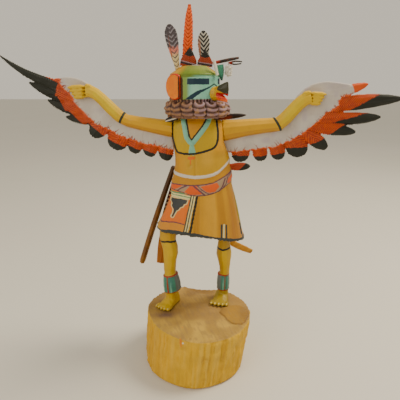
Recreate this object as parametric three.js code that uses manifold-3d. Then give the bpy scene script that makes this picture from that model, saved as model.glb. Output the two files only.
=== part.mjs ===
// A carved and painted wooden eagle dancer: a masked figure in a kilt, standing on a section
// of log, with carved wings under both raised arms and feathers on its head.
// Millimetres, +Z up. The origin is the middle of the log's underside, the figure faces -Y and
// "left" and "right" are as seen from in front, so left is -X.
import * as THREE from "three";
import { mergeVertices } from "three/addons/utils/BufferGeometryUtils.js";
import Module from "manifold-3d";

const wasm = await Module();
wasm.setup();

// ---- driving dimensions -------------------------------------------------------------------
const RAD = Math.PI / 180;
const GAP = 0.3; // between pieces that touch
// The log is a little oval and three-cornered, most of all at its top, which sits to one side.
const BASE = { height: 61, top: 61.9, bottom: 59.4, topX: -1.4, topY: 1.4, bottomX: -6.8, bottomY: -1,
  oval: 0.045, ovalTurn: 130 * RAD, corners: 0.024, cornersTurn: 33.5 * RAD };
const LIP = { turn: -16 * RAD, reach: 0.42, rise: 1.6, out: 0.6 }; // a lifted flake on the log's rim
const SCOOP = { turn: 84 * RAD, reach: 0.5, depth: 5.5 }; // a dip in the rim at the back
const SOLE = BASE.height + GAP;
const HEAD = { x: -5.7, y: 13, radius: 26.6, brim: 332.6, crown: 341.5, foot: 291 };
const RUFF = { x: -2.6, y: 12, z: 297.6, radiusX: 25.6, radiusY: 23, tube: 10.2, high: 9.4,
  lobes: 15, front: -85 * RAD, twist: 0.12 };
const WING = { plane: 15, plate: 4.4, bevel: 0.8, feather: 2.3, stagger: 0.5 };

// ---- general shapes -----------------------------------------------------------------------
const vec = (x, y, z) => new THREE.Vector3(x, y, z);
const mix = (a, b, t) => a + (b - a) * t;
const clamp01 = (t) => Math.min(1, Math.max(0, t));

function smooth(low, high, t) {
  const s = clamp01((t - low) / (high - low));
  return s * s * (3 - 2 * s);
}

// How far two angles are apart.
const apart = (a, b) => Math.abs(Math.atan2(Math.sin(a - b), Math.cos(a - b)));

// Smooth interpolation in a list of rows, each a list of numbers, at t from 0 to 1.
function blendRows(rows, t) {
  const place = t * (rows.length - 1);
  const i = Math.min(Math.floor(place), rows.length - 2);
  const f = place - i;
  const before = rows[Math.max(i - 1, 0)];
  const after = rows[Math.min(i + 2, rows.length - 1)];
  return rows[i].map((p1, k) => {
    const p2 = rows[i + 1][k];
    const m1 = (p2 - before[k]) / 2;
    const m2 = (after[k] - p1) / 2;
    const f2 = f * f;
    const f3 = f2 * f;
    return (2 * f3 - 3 * f2 + 1) * p1 + (f3 - 2 * f2 + f) * m1
      + (3 * f2 - 2 * f3) * p2 + (f3 - f2) * m2;
  });
}

function toManifold(geometry) {
  const bare = geometry.clone();
  bare.deleteAttribute("normal");
  bare.deleteAttribute("uv");
  const merged = mergeVertices(bare, 1e-5);
  const vertProperties = new Float32Array(merged.attributes.position.array);
  const triVerts = new Uint32Array(merged.index.array);
  const solid = new wasm.Manifold(new wasm.Mesh({ numProp: 3, vertProperties, triVerts }));
  if (solid.volume() >= 0) return solid;
  for (let i = 0; i < triVerts.length; i += 3) {
    [triVerts[i], triVerts[i + 1]] = [triVerts[i + 1], triVerts[i]];
  }
  return new wasm.Manifold(new wasm.Mesh({ numProp: 3, vertProperties, triVerts }));
}

const fuse = (parts) => parts.reduce((whole, part) => whole.add(part));

// What is left of a solid where others are in its way, without the offcuts.
function cut(solid, ...others) {
  const left = others.reduce((rest, other) => rest.subtract(other), solid);
  const bodies = left.decompose().sort((a, b) => b.volume() - a.volume());
  return bodies[0];
}

// A closed skin of `rows` rings of `segments` points: pointAt(t, angle) with t from 0 to 1.
function skin(rows, segments, pointAt) {
  const geometry = new THREE.CylinderGeometry(1, 1, 1, segments, rows - 1);
  const position = geometry.attributes.position;
  const ends = [0, 1].map((t) => {
    const middle = vec(0, 0, 0);
    for (let k = 0; k < segments; k += 1) {
      middle.add(pointAt(t, (k / segments) * 2 * Math.PI));
    }
    return middle.divideScalar(segments);
  });
  for (let i = 0; i < position.count; i += 1) {
    const x = position.getX(i);
    const z = position.getZ(i);
    const t = Math.round((0.5 - position.getY(i)) * (rows - 1)) / (rows - 1);
    const step = Math.round((Math.atan2(x, z) / (2 * Math.PI)) * segments);
    const angle = (((step + segments) % segments) / segments) * 2 * Math.PI;
    const point = Math.hypot(x, z) < 0.5 ? ends[Math.round(t)] : pointAt(t, angle);
    position.setXYZ(i, point.x, point.y, point.z);
  }
  return toManifold(geometry);
}

// A rounded box section: power 2 is an ellipse, more is squarer.
function section(angle, power) {
  const c = Math.cos(angle);
  const s = Math.sin(angle);
  const k = (Math.abs(c) ** power + Math.abs(s) ** power) ** (-1 / power);
  return [c * k, s * k];
}

// A limb through rows [x, y, z, half width, half depth], its section square to its run.
function limb(rows, steps, segments, grow = 0, power = 2) {
  const centre = (t) => vec(...blendRows(rows, clamp01(t)).slice(0, 3));
  return skin(steps, segments, (t, angle) => {
    const [, , , wide, deep] = blendRows(rows, t);
    const run = centre(t + 0.02).sub(centre(t - 0.02)).normalize();
    const side = vec(0, 1, 0).cross(run).normalize();
    const front = run.clone().cross(side);
    const [c, s] = section(angle, power);
    return centre(t)
      .addScaledVector(side, c * (wide + grow))
      .addScaledVector(front, s * (deep + grow));
  });
}

// A carved feather from root to tip. `face` is the way its flat side looks. Its half width grows
// from `stem` to `half` at `belly` of its length and closes to `end`, blunter as `blunt` grows.
// `skew` slants the end across the feather.
function feather({ root, tip, half, thick, face = vec(0, -1, 0), stem = 0.5, belly = 0.5,
  blunt = 2, end = 0.06, skew = 0, bend = 0, rows = 9, segments = 6 }) {
  const run = tip.clone().sub(root);
  const across = run.clone().normalize().cross(face).normalize();
  const out = across.clone().cross(run).normalize();
  return skin(rows, segments, (u, angle) => {
    const t = 1 - (1 - u) ** 1.5;
    const closing = clamp01((t - belly) / (1 - belly));
    const opening = mix(stem, 1, smooth(0, belly, t));
    const wide = half * opening * Math.max((1 - closing ** blunt) ** (1 / Math.min(blunt, 2)), end);
    const deep = thick * Math.max(Math.min(1, (1 - t) * 9), 0.25);
    const sag = 4 * bend * t * (1 - t);
    const slanted = t + (skew * t * Math.cos(angle) * wide) / run.length();
    return root.clone()
      .addScaledVector(run, slanted)
      .addScaledVector(across, Math.cos(angle) * wide + sag)
      .addScaledVector(out, Math.sin(angle) * Math.min(deep, wide));
  });
}

const group = new THREE.Group();
const solids = {};

function place(name, solid, color, roughness = 0.7) {
  const { vertProperties, triVerts } = solid.getMesh();
  const geometry = new THREE.BufferGeometry();
  geometry.setAttribute("position", new THREE.BufferAttribute(vertProperties, 3));
  geometry.setIndex(new THREE.BufferAttribute(triVerts, 1));
  geometry.computeVertexNormals();
  const material = new THREE.MeshStandardMaterial({ color, roughness, metalness: 0 });
  const mesh = new THREE.Mesh(geometry, material);
  mesh.name = name;
  solids[name] = solid;
  group.add(mesh);
}

// ---- base: a section of log ---------------------------------------------------------------
// Rings of the log as [share of radius, height]: up the side, over the rim and in across the top.
const LOG_ROWS = [[0.97, 0], [1, 2.5], [1, 30], [1, 58], [0.985, BASE.height], [0.84, BASE.height],
  [0.6, BASE.height]];

function logPoint(t, angle) {
  const [share, z] = LOG_ROWS[Math.round(t * (LOG_ROWS.length - 1))];
  const up = z / BASE.height;
  const shape = BASE.oval * Math.cos(2 * (angle - BASE.ovalTurn))
    + BASE.corners * Math.cos(3 * (angle - BASE.cornersTurn));
  const uneven = 1 + mix(0.3, 1, up) * shape + 0.008 * Math.sin(7 * angle);
  const radius = share * uneven * mix(BASE.bottom, BASE.top, up);
  const lip = smooth(LIP.reach, 0.2, apart(angle, LIP.turn)) * smooth(0.84, 0.97, share)
    * smooth(50, 58, z);
  const scoop = smooth(SCOOP.reach, 0.08, apart(angle, SCOOP.turn)) * smooth(0.6, 0.97, share)
    * smooth(57, 60, z);
  return vec(
    mix(BASE.bottomX, BASE.topX, up) + Math.cos(angle) * (radius + LIP.out * lip),
    mix(BASE.bottomY, BASE.topY, up) + Math.sin(angle) * (radius + LIP.out * lip),
    z + LIP.rise * lip - SCOOP.depth * scoop,
  );
}

place("base", skin(LOG_ROWS.length, 40, logPoint), 0xc8a050, 0.8);

// ---- figure -------------------------------------------------------------------------------
// Down the body: [middle x, middle y, z, half width, half depth, squareness, raised at right].
const BODY = [
  [-3, 13, 293, 15, 12, 2, 0], [-3, 13, 287, 24, 15, 2.2, 0], [-3, 13, 281, 29, 18, 2.4, 0],
  [-2.2, 14, 272, 28.4, 19.5, 2.5, 0], [-1.5, 14, 262, 27.8, 20.5, 2.5, 0],
  [1.2, 14, 251, 29, 20.5, 2.5, 2], [2.6, 14, 241, 29.8, 20.5, 2.5, 5],
  [2, 14, 230, 30.6, 21, 2.5, 10], [1.4, 14, 222, 31.6, 21.6, 2.4, 13],
  [1.6, 14, 214, 33, 23, 2.4, 14], [1.6, 14, 206, 33.8, 24.2, 2.4, 11],
  [2.4, 14, 197, 37.4, 25.4, 2.6, 4], [2.6, 14, 185, 41.6, 26.6, 2.8, -1],
  [2, 14.5, 173, 45.4, 27.4, 3, -3], [0.8, 15, 160.4, 50.4, 28, 3, -3]];
const SASH = { low: 208, high: 219, proud: 1.3 };
const KILT = { pleats: 11, depth: 0.8, hollow: 7, hollowShare: 0.28, hemSlope: -0.1 };
const CHEST = { low: 249, high: 272, proud: 3.2 };
const HEM = 18 / 21; // the share of the body's rings above the hem: the rest turn under it

function bodyPoint(grow) {
  return (t, angle) => {
    const [x, y, z, wide, deep, power, rise] = blendRows(BODY, Math.min(t / HEM, 1));
    const [c, s] = section(angle, power);
    const under = clamp01((t - HEM) / (1 - HEM));
    const across = c * wide;
    const raised = rise * smooth(8, 36, x + across) + KILT.hemSlope * across * smooth(200, 165, z);
    const sash = SASH.proud * smooth(SASH.low - 2, SASH.low, z) * smooth(SASH.high + 2, SASH.high, z);
    const kilt = smooth(200, 168, z);
    const pleat = KILT.depth * kilt * Math.cos(KILT.pleats * angle) * smooth(-0.2, 0.3, s);
    const chest = CHEST.proud * smooth(CHEST.low - 3, CHEST.low + 3, z) * Math.abs(Math.cos(angle))
      * smooth(CHEST.high + 4, CHEST.high - 4, z) * smooth(0.2, 0.9, -s);
    const out = sash + pleat + chest + grow;
    const shrink = mix(1, KILT.hollowShare, smooth(0.3, 1, under)) - 0.08 * smooth(0, 0.3, under);
    const inset = under > 0 ? shrink : 1;
    const lift = under > 0 ? KILT.hollow * smooth(0.2, 0.6, under) : 0;
    return vec(x + c * (wide + out) * inset, y + s * (deep + out) * inset, z + raised + lift);
  };
}

// Down the head: [share of radius, height], from the crown over the brim to the neck.
const HEAD_ROWS = [[0.3, HEAD.crown], [0.5, HEAD.crown - 0.5], [0.7, HEAD.crown - 4],
  [0.97, HEAD.brim + 0.4], [0.97, HEAD.brim - 0.9], [0.94, HEAD.brim - 1.4], [0.99, HEAD.brim - 3],
  [1, 308], [0.7, HEAD.foot]];

function headPoint(grow) {
  return (t, angle) => {
    const [share, z] = HEAD_ROWS[Math.round(t * (HEAD_ROWS.length - 1))];
    const radius = share * HEAD.radius + grow;
    const brimSide = z > HEAD.brim ? 1 : -1;
    const lift = z > HEAD.brim - 2 ? brimSide * grow : 0;
    return vec(HEAD.x + Math.cos(angle) * radius, HEAD.y + Math.sin(angle) * radius, z + lift);
  };
}

// The ruff round the neck: a ring of twisted lobes.
function ruffPoint(grow) {
  return (t, angle) => {
    const down = Math.sin((t - 0.5) * Math.PI);
    const lobe = Math.abs(Math.cos((RUFF.lobes * (angle - RUFF.front + RUFF.twist * down)) / 2));
    const bulge = (RUFF.tube + grow) * (0.84 + 0.16 * lobe) * Math.sqrt(Math.max(1 - down * down, 0));
    const inner = t < 0.01 || t > 0.99 ? 0.2 : 1;
    return vec(
      RUFF.x + Math.cos(angle) * (RUFF.radiusX * inner + bulge),
      RUFF.y + Math.sin(angle) * (RUFF.radiusY * inner + bulge),
      RUFF.z - down * (RUFF.high + grow),
    );
  };
}

// Legs: [x, y, z, half width, half depth] from inside the kilt down to the foot.
const LEFT_LEG = [
  [-34, 12, 173, 6, 8], [-36.8, 9, 160, 10.4, 9.6], [-37, 8, 149.5, 9.3, 9.2], [-35, 8.5, 143, 9.1, 9.6],
  [-34.4, 9.5, 134, 9, 9.4], [-35.6, 12, 122, 7.6, 8], [-36.2, 15, 106, 7.2, 7.4], [-36, 16.5, 92, 6.6, 7],
  [-36, 18, 78, 6.8, 7.4], [-36, 18.5, 68, 7, 8]];
const RIGHT_LEG = [
  [28.5, 15, 172, 6, 7], [28.9, 16, 152, 7, 8.4], [28.4, 17, 141, 7.2, 8.2], [28.5, 19, 131, 9.2, 9.2],
  [29.3, 21, 123, 8.7, 9], [29.8, 23, 115, 7.4, 8], [30.4, 25.5, 104, 6.2, 7], [30, 28, 92, 5.8, 6.6],
  [29.6, 30, 78, 6, 6.8], [29.2, 31, 68, 6.8, 7.4]];
// Anklets: the middle of each end, the half width there and how far they lean over sideways.
const ANKLETS = [
  { top: vec(-35.6, 15.6, 103), bottom: vec(-33.6, 18.4, 80), from: 9.3, to: 11.3, lean: 0.2 },
  { top: vec(29.2, 27.6, 98), bottom: vec(29, 30.6, 75), from: 7.7, to: 8.3, lean: 0 }];
const FEET = [
  { heel: vec(-28, 31, SOLE), toe: vec(-47.4, -1.6, SOLE), width: 10.4, instep: 17 },
  { heel: vec(30, 42, SOLE), toe: vec(22.2, 6.6, SOLE), width: 11.8, instep: 13 }];
const TOES = 5;

function anklet({ top, bottom, from, to, lean }) {
  return skin(4, 12, (t, angle) => {
    const centre = top.clone().lerp(bottom, t);
    const edge = t < 0.01 || t > 0.99 ? 0.8 : 0;
    const radius = mix(from, to, t) - edge;
    const across = Math.cos(angle) * radius;
    return vec(centre.x + across, centre.y + Math.sin(angle) * radius, centre.z + lean * across);
  });
}

// A foot as a wedge with a round back, and five toes across its front.
function foot({ heel, toe, width, instep }) {
  const run = toe.clone().sub(heel);
  const side = vec(-run.y, run.x, 0).normalize();
  const body = skin(7, 10, (t, angle) => {
    const wide = width * mix(0.58, 0.97, t) * Math.sqrt(1 - (1 - Math.min(t * 5 + 0.12, 1)) ** 2);
    const high = mix(instep, 5, smooth(0.2, 0.95, t)) * Math.sqrt(Math.min(1, t * 6 + 0.2));
    const [c, s] = section(angle, 2.4);
    const up = s > 0 ? s * high : 0;
    return heel.clone().addScaledVector(run, t * 0.88)
      .addScaledVector(side, c * wide).add(vec(0, 0, up));
  });
  const toes = [...Array(TOES).keys()].map((k) => {
    const share = (k + 0.5) / TOES;
    const reach = 1 - (share - 0.5) ** 2;
    const start = heel.clone().addScaledVector(run, 0.74)
      .addScaledVector(side, mix(-1, 1, share) * width);
    return skin(4, 5, (t, angle) => {
      const round = Math.sqrt(Math.max(1 - (Math.max(t - 0.45, 0) / 0.56) ** 2, 0.05));
      const size = (width / TOES) * 1.04 * round;
      return start.clone().addScaledVector(run, t * 0.27 * reach)
        .addScaledVector(side, Math.cos(angle) * size)
        .add(vec(0, 0, 2.5 + Math.sin(angle) * Math.min(size, 2.5)));
    });
  });
  return fuse([body, ...toes]);
}

const trunk = (grow) => fuse([skin(22, 32, bodyPoint(grow)), skin(HEAD_ROWS.length, 28, headPoint(grow)),
  skin(6, 45, ruffPoint(grow))]);
const grownTrunk = trunk(GAP);
const figure = fuse([trunk(0), limb(LEFT_LEG, 12, 10), limb(RIGHT_LEG, 12, 10),
  ...ANKLETS.map(anklet), ...FEET.map(foot)]);
place("figure", figure, 0xd8a428, 0.6);

// ---- wings --------------------------------------------------------------------------------
// Each wing feather: [root x, root z, tip x, tip z, half width, belly, bluntness, end, sag, skew].
const LEFT_FEATHERS = [
  [-128, 318, -209.6, 353.8, 6, 0.3, 1.25, 0.06, -7.6, 0],
  [-122, 303, -180, 324.5, 5.9, 0.5, 1.9, 0.15, -2.6, 0],
  [-112, 290, -161.9, 306.6, 5.5, 0.5, 2.1, 0.2, -2.4, 0],
  [-98, 284, -144.4, 288.8, 5.2, 0.55, 2.2, 0.25, -1.4, 0],
  [-90, 300, -117.4, 268, 10.8, 0.7, 2.4, 0.4, 0, 0],
  [-75, 289, -95.4, 254.4, 12.4, 0.72, 2.4, 0.4, 0, 0],
  [-61, 287, -74, 250, 9.4, 0.76, 2.5, 0.45, 0, -0.1],
  [-48, 284, -57.2, 246, 9, 0.76, 2.5, 0.45, 0, -0.15],
  [-33, 280, -39.2, 241.8, 9.4, 0.76, 2.5, 0.45, 0, -0.2]];
const RIGHT_FEATHERS = [
  [118, 313, 177.5, 323.2, 6.3, 0.5, 2, 0.1, 3, 0],
  [126, 299, 218, 308.3, 8.7, 0.4, 1.7, 0.06, -1, 0],
  [118, 287, 194.5, 288.8, 7.4, 0.45, 2.2, 0.2, 1, 0],
  [108, 280, 169.4, 272.6, 7, 0.5, 2.4, 0.25, 0, 0],
  [98, 284, 139.4, 255.2, 8.6, 0.65, 2.4, 0.4, 0, 0],
  [92, 283, 112.4, 246, 12.4, 0.72, 2.4, 0.4, 0, -0.12],
  [78, 280, 87.8, 242.4, 9.2, 0.76, 2.5, 0.45, 0, -0.1],
  [61, 278, 68.2, 240.8, 8.8, 0.76, 2.5, 0.45, 0, -0.05],
  [42, 276, 46, 240, 10.9, 0.76, 2.5, 0.45, 0, 0.05]];
// The smooth part of each wing, which backs the arm: its outline goes round through these.
const LEFT_PLATE = [[-158, 326], [-147, 329.2], [-138, 330], [-129, 328.8], [-120, 325], [-108, 316],
  [-94, 301], [-80, 290], [-55, 283], [-22, 279], [-18, 256], [-46, 255], [-73, 259], [-104, 270],
  [-126, 285], [-141, 301], [-152, 313], [-160, 321]];
const RIGHT_PLATE = [[158, 322.6], [147, 324.3], [136, 325.6], [125, 324.6], [115, 321.2], [106, 314],
  [92, 297], [78, 286], [50, 279], [18, 276], [16, 252], [46, 251], [78, 255], [107, 264], [126, 272],
  [139, 285], [152, 298], [160, 310]];
// Arms: [x, y, z, half width, half depth] from inside the shoulder to the wrist.
const LEFT_ARM = [[-18, 12.5, 277, 9, 9.4], [-33, 12.5, 277, 8.8, 9.2], [-58, 12, 281.6, 7.4, 7.8],
  [-76, 11.5, 285, 6.3, 7], [-86, 10.5, 290, 6.6, 6.8], [-97, 9.5, 301, 6.5, 6.5], [-106, 9, 310.6, 6, 6],
  [-113.5, 9, 315.5, 6.4, 5.4], [-119, 9, 316, 6.6, 4.6]];
const RIGHT_ARM = [[14, 12.5, 274, 12.2, 10], [26, 12.5, 274.6, 11.4, 9.6], [48, 12, 277.8, 9.2, 8.4],
  [70, 11.5, 280, 8, 7.6], [84, 10.5, 281.6, 7.7, 7.2], [93, 9.5, 290, 7.2, 6.8], [101, 9, 299.4, 7, 6.2],
  [109, 9, 307, 7, 5.6], [116, 9, 309.4, 6.6, 4.6]];
// Hands: the top finger from knuckle to tip, the step down to the next one, half the thickness
// of a finger and the length of the thumb.
const HANDS = [
  { knuckle: vec(-120, 9.2, 320.6), tip: vec(-138.4, 9.8, 319.4), pitch: -3.4, thick: 2.3, thumb: 7 },
  { knuckle: vec(115, 9.2, 313.6), tip: vec(132.6, 9.8, 312.6), pitch: -3.3, thick: 2.3, thumb: 9 }];
const FINGERS = 4;

function finger(from, to, radius) {
  return skin(4, 6, (u, angle) => {
    const t = 0.5 - 0.5 * Math.cos(Math.PI * u);
    const round = Math.sqrt(Math.max(1 - (2 * t - 1) ** 6, 0.12));
    return from.clone().lerp(to, t)
      .add(vec(0, Math.sin(angle) * radius * 1.6 * round, Math.cos(angle) * radius * round));
  });
}

function hand({ knuckle, tip, pitch, thick, thumb }) {
  const fingers = [...Array(FINGERS).keys()].map((k) => {
    const down = vec(0, 0, pitch * k);
    const shorter = tip.clone().lerp(knuckle, 0.1 * k);
    return finger(knuckle.clone().add(down), shorter.add(down), thick);
  });
  const out = Math.sign(tip.x);
  const start = knuckle.clone().add(vec(-out * 8, -1, -0.6));
  const end = start.clone().add(vec(out * thumb, -0.8, 1.8));
  return fuse([...fingers, finger(start, end, thick)]);
}

function plate(points) {
  const curve = new THREE.SplineCurve(points.map(([x, z]) => new THREE.Vector2(x, z)));
  const shape = new THREE.Shape(curve.getPoints(Math.round(points.length * 1.3)));
  const geometry = new THREE.ExtrudeGeometry(shape, {
    depth: WING.plate - 2 * WING.bevel, bevelThickness: WING.bevel, bevelSize: WING.bevel,
    bevelOffset: -WING.bevel, bevelSegments: 1,
  });
  geometry.rotateX(Math.PI / 2);
  geometry.translate(0, WING.plane + WING.plate / 2 - WING.bevel, 0);
  return toManifold(geometry);
}

function wing(feathers, outline, arm, handSize) {
  const blades = feathers.map(([rx, rz, tx, tz, half, belly, blunt, end, sag, skew], k) => {
    const layer = WING.plane + (k % 2 ? WING.stagger : -WING.stagger);
    return feather({
      root: vec(rx, layer, rz), tip: vec(tx, layer, tz), half, belly, blunt, end, skew, bend: sag,
      thick: WING.feather, stem: 0.8, rows: 7, segments: 6,
    });
  });
  return cut(fuse([plate(outline), ...blades, limb(arm, 11, 10), hand(handSize)]), grownTrunk);
}

place("wing_left", wing(LEFT_FEATHERS, LEFT_PLATE, LEFT_ARM, HANDS[0]), 0xd0c8c0, 0.7);
place("wing_right", wing(RIGHT_FEATHERS, RIGHT_PLATE, RIGHT_ARM, HANDS[1]), 0xd0c8c0, 0.7);

// ---- on the mask: beak and ears -----------------------------------------------------------
// A point beside the head: `azimuth` from the front (-Y) towards +X, `out` from the head's axis.
const beside = (azimuth, out, z) => vec(
  HEAD.x + Math.sin(azimuth * RAD) * out,
  HEAD.y - Math.cos(azimuth * RAD) * out,
  z,
);
const outward = (azimuth) => vec(Math.sin(azimuth * RAD), -Math.cos(azimuth * RAD), 0);

// An ear is a round disc with a straight front edge, its flat side looking out.
const EARS = {
  ear_left: { azimuth: -46, z: 320.4, radius: 12.6, thick: 3.4, side: -1 },
  ear_right: { azimuth: 140, z: 321.4, radius: 11.2, thick: 3.4, side: 1 },
};
const EAR_EDGE = { straight: 0.55, round: 0.6 };

function ear({ azimuth, z, radius, thick, side }) {
  const out = outward(azimuth);
  const back = vec(-out.y, out.x, 0).multiplyScalar(side);
  const centre = beside(azimuth, HEAD.radius + thick / 2 - 1.2, z);
  return skin(4, 18, (t, angle) => {
    const size = t < 0.01 || t > 0.99 ? radius - EAR_EDGE.round : radius;
    const along = Math.max(Math.cos(angle) * size, -EAR_EDGE.straight * radius);
    const depth = [-0.5, -0.28, 0.28, 0.5][Math.round(t * 3)] * thick;
    return centre.clone().addScaledVector(back, along).addScaledVector(out, depth)
      .add(vec(0, 0, Math.sin(angle) * size));
  });
}
for (const [name, shape] of Object.entries(EARS)) place(name, cut(ear(shape), grownTrunk), 0xe07820);

// The beak: a round boss with a wide open bill, its upper half ending in a deep hook.
const BEAK = { azimuth: 50, z: 313.6, boss: 7.3 };
// Along each half of the bill: [out from the root, middle height, half width, half depth].
const UPPER_BILL = [[-3, 2.5, 4.6, 3.6], [4, 4.2, 4.4, 4.6], [10, 5.2, 3, 6], [14, 4.8, 1.3, 7.4]];
const LOWER_BILL = [[-3, -2.6, 4.4, 3.6], [4, -3, 4, 3.8], [9, -4.4, 3, 3], [13, -6.4, 1.3, 1.5]];

function bill(rows) {
  const out = outward(BEAK.azimuth);
  const side = vec(-out.y, out.x, 0);
  const root = beside(BEAK.azimuth, HEAD.radius + 3, BEAK.z);
  return skin(5, 8, (t, angle) => {
    const [reach, high, wide, deep] = blendRows(rows, t);
    return root.clone().addScaledVector(out, reach)
      .addScaledVector(side, Math.cos(angle) * wide)
      .add(vec(0, 0, high + Math.sin(angle) * deep));
  });
}
const boss = skin(7, 12, (t, angle) => {
  const out = outward(BEAK.azimuth);
  const side = vec(-out.y, out.x, 0);
  const radius = BEAK.boss * Math.sqrt(Math.max(1 - (1.9 * t - 0.95) ** 2, 0));
  return beside(BEAK.azimuth, HEAD.radius - 1 + (t * 2 - 1) * BEAK.boss, BEAK.z)
    .addScaledVector(side, Math.cos(angle) * radius).add(vec(0, 0, Math.sin(angle) * radius * 1.04));
});
place("beak", cut(fuse([boss, bill(UPPER_BILL), bill(LOWER_BILL)]), grownTrunk), 0xc8a020, 0.5);

// ---- feathers on the head -----------------------------------------------------------------
const standing = (spec) => cut(feather({ thick: 1.3, ...spec }), grownTrunk);
const CREST = {
  crest_tall: { root: vec(-14, 20, 338), tip: vec(-10.6, 20, 400.6), half: 5.4, stem: 1, belly: 0.05,
    blunt: 3.2, end: 0.34, thick: 1.8, color: 0xf06018 },
  crest_dark_left: { root: vec(-23, 16, 336), tip: vec(-31.6, 16, 381.4), half: 6.9, stem: 0.36,
    belly: 0.72, blunt: 2.4, end: 0.3, color: 0x4a4548 },
  crest_dark_right: { root: vec(4.6, 17, 338), tip: vec(3.4, 17, 375.4), half: 6.5, stem: 0.55,
    belly: 0.7, blunt: 2.4, end: 0.3, color: 0x6a6a62 },
  crest_short_left: { root: vec(-12.2, 7.5, 340), tip: vec(-9.9, 7.5, 359), half: 8.5, stem: 1,
    belly: 0.3, blunt: 1.1, color: 0x9a3c1a },
  crest_short_right: { root: vec(4.8, 8.5, 340), tip: vec(5.7, 8.5, 356.4), half: 8.2, stem: 1,
    belly: 0.3, blunt: 1.1, color: 0x9a3c1a },
};
for (const [name, { color, ...spec }] of Object.entries(CREST)) place(name, standing(spec), color);

// Thin things tied at the right of the cap.
const rod = (rows, steps = 5) => cut(limb(rows, steps, 6), grownTrunk);
const QUILL = [[17.4, -4, 331.4, 1.5, 1.2], [15.8, -3, 338.6, 1.7, 1.3], [13.9, -2, 346, 1.4, 1]];
place("quill_white", rod(QUILL), 0xe8e0d0);
place("green_tuft", standing({ root: vec(20.2, 9, 342), tip: vec(22.6, 9, 326.6), half: 4,
  thick: 2.4, stem: 1, belly: 0.25, blunt: 1.5, end: 0.3, segments: 10 }), 0x4e9078);
const DOWN = { x: 29.4, y: 10, high: 343, low: 330, radius: 4 };
const down = skin(7, 9, (t, angle) => {
  const round = Math.sqrt(Math.max(1 - (2 * t - 1) ** 4, 0.03));
  const radius = DOWN.radius * round * (1 + 0.1 * Math.sin(5 * angle + 9 * t));
  return vec(DOWN.x + Math.cos(angle) * radius, DOWN.y + Math.sin(angle) * radius,
    mix(DOWN.high, DOWN.low, t));
});
place("down_tuft", cut(down, solids.green_tuft.translate(GAP, 0, 0), grownTrunk), 0xe8e4dc);
const EDGE_ON = [[13, 10.5, 343.6, 1.6, 1.6], [22, 10, 345.4, 1.7, 2.4],
  [31, 10, 347.2, 1.7, 2.4], [39.8, 10, 348.8, 1.1, 1.2]];
place("feather_side", rod(EDGE_ON, 8), 0x2a201c);
place("twig_fork", fuse([
  limb([[29.5, 15, 344, 0.9, 0.9], [37, 15, 345.8, 0.8, 0.8], [43.6, 15, 345.2, 0.7, 0.7]], 5, 6),
  limb([[29.5, 15, 344, 0.9, 0.9], [36, 15, 342.6, 0.8, 0.8], [43, 15, 343.4, 0.7, 0.7]], 5, 6),
]), 0x2a201c);

// ---- feather tips behind the ruff, at the waist and the tail ------------------------------
const figureAndWings = fuse([grownTrunk, solids.figure, solids.wing_left, solids.wing_right]);
// What shows of a feather clear of the figure and of the wings, which are also moved by `shift`.
const clearOf = (spec, shift) => cut(feather(spec), figureAndWings,
  solids.wing_right.translate(...shift), solids.wing_left.translate(...shift));
place("nape_feather_right", clearOf({ root: vec(14, 24, 287), tip: vec(50.6, 22, 290.4), half: 3.4,
  thick: 1.6, belly: 0.4, blunt: 1.8, stem: 0.9 }, [0, 0, GAP]), 0x2a1c18);
place("nape_feather_left", clearOf({ root: vec(-24, -4, 290), tip: vec(-36.4, -1, 286.2), half: 3,
  thick: 1.4, belly: 0.5, blunt: 1.8, stem: 0.9 }, [0, 0, GAP]), 0x2a1c18);
place("waist_feather", clearOf({ root: vec(31, 22, 232.4), tip: vec(57, 22, 233.4), half: 5,
  thick: 1.8, belly: 0.5, blunt: 2.2, stem: 0.7 }, [GAP, 0, 0]), 0x8a2c20);

// Tail feathers, tied at the back of the kilt: rows as for the arms.
const TAIL = {
  tail_long: { rows: [[-30.5, 30, 231, 2.4, 6], [-42, 32, 199, 2.9, 8], [-58, 36, 153, 3.3, 9],
    [-72.6, 41, 108, 3.3, 8]], color: 0x5a3a14 },
  tail_inner: { rows: [[-27, 34, 224, 1.6, 5], [-38, 36, 190, 1.8, 6], [-46, 37, 162, 1.8, 6]],
    color: 0x6a2420 },
  tail_left: { rows: [[-36, 38, 176, 5, 1.8], [-46, 38, 138, 5.2, 1.8], [-49.8, 36.6, 107, 4.8, 1.6]],
    color: 0xa06018 },
  tail_right: { rows: [[16, 38, 168, 4, 1.6], [37, 45, 134, 4.3, 1.6], [54, 54, 120, 4.3, 1.6],
    [67.4, 60, 112, 3.2, 1.4]], color: 0xc08830 },
};
const placedTails = [grownTrunk, figure];
for (const [name, { rows, color }] of Object.entries(TAIL)) {
  place(name, cut(limb(rows, 8, 8, 0, 3), ...placedTails), color);
  placedTails.push(limb(rows, 8, 8, GAP, 3));
}

export default group;
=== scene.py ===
import math
import bpy
import numpy as np
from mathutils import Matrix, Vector


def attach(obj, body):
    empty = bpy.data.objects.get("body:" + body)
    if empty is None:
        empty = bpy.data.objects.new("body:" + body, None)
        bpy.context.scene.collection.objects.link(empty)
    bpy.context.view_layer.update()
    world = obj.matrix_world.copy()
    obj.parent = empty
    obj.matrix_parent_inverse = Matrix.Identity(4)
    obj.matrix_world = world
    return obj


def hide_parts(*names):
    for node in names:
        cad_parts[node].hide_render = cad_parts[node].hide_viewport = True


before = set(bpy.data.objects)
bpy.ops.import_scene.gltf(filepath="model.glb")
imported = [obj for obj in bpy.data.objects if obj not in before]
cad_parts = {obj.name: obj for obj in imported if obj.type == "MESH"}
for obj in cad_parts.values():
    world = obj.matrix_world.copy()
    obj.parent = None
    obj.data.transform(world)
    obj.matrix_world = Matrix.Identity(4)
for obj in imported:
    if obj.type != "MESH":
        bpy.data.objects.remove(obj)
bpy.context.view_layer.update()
MM = 0.001
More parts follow.
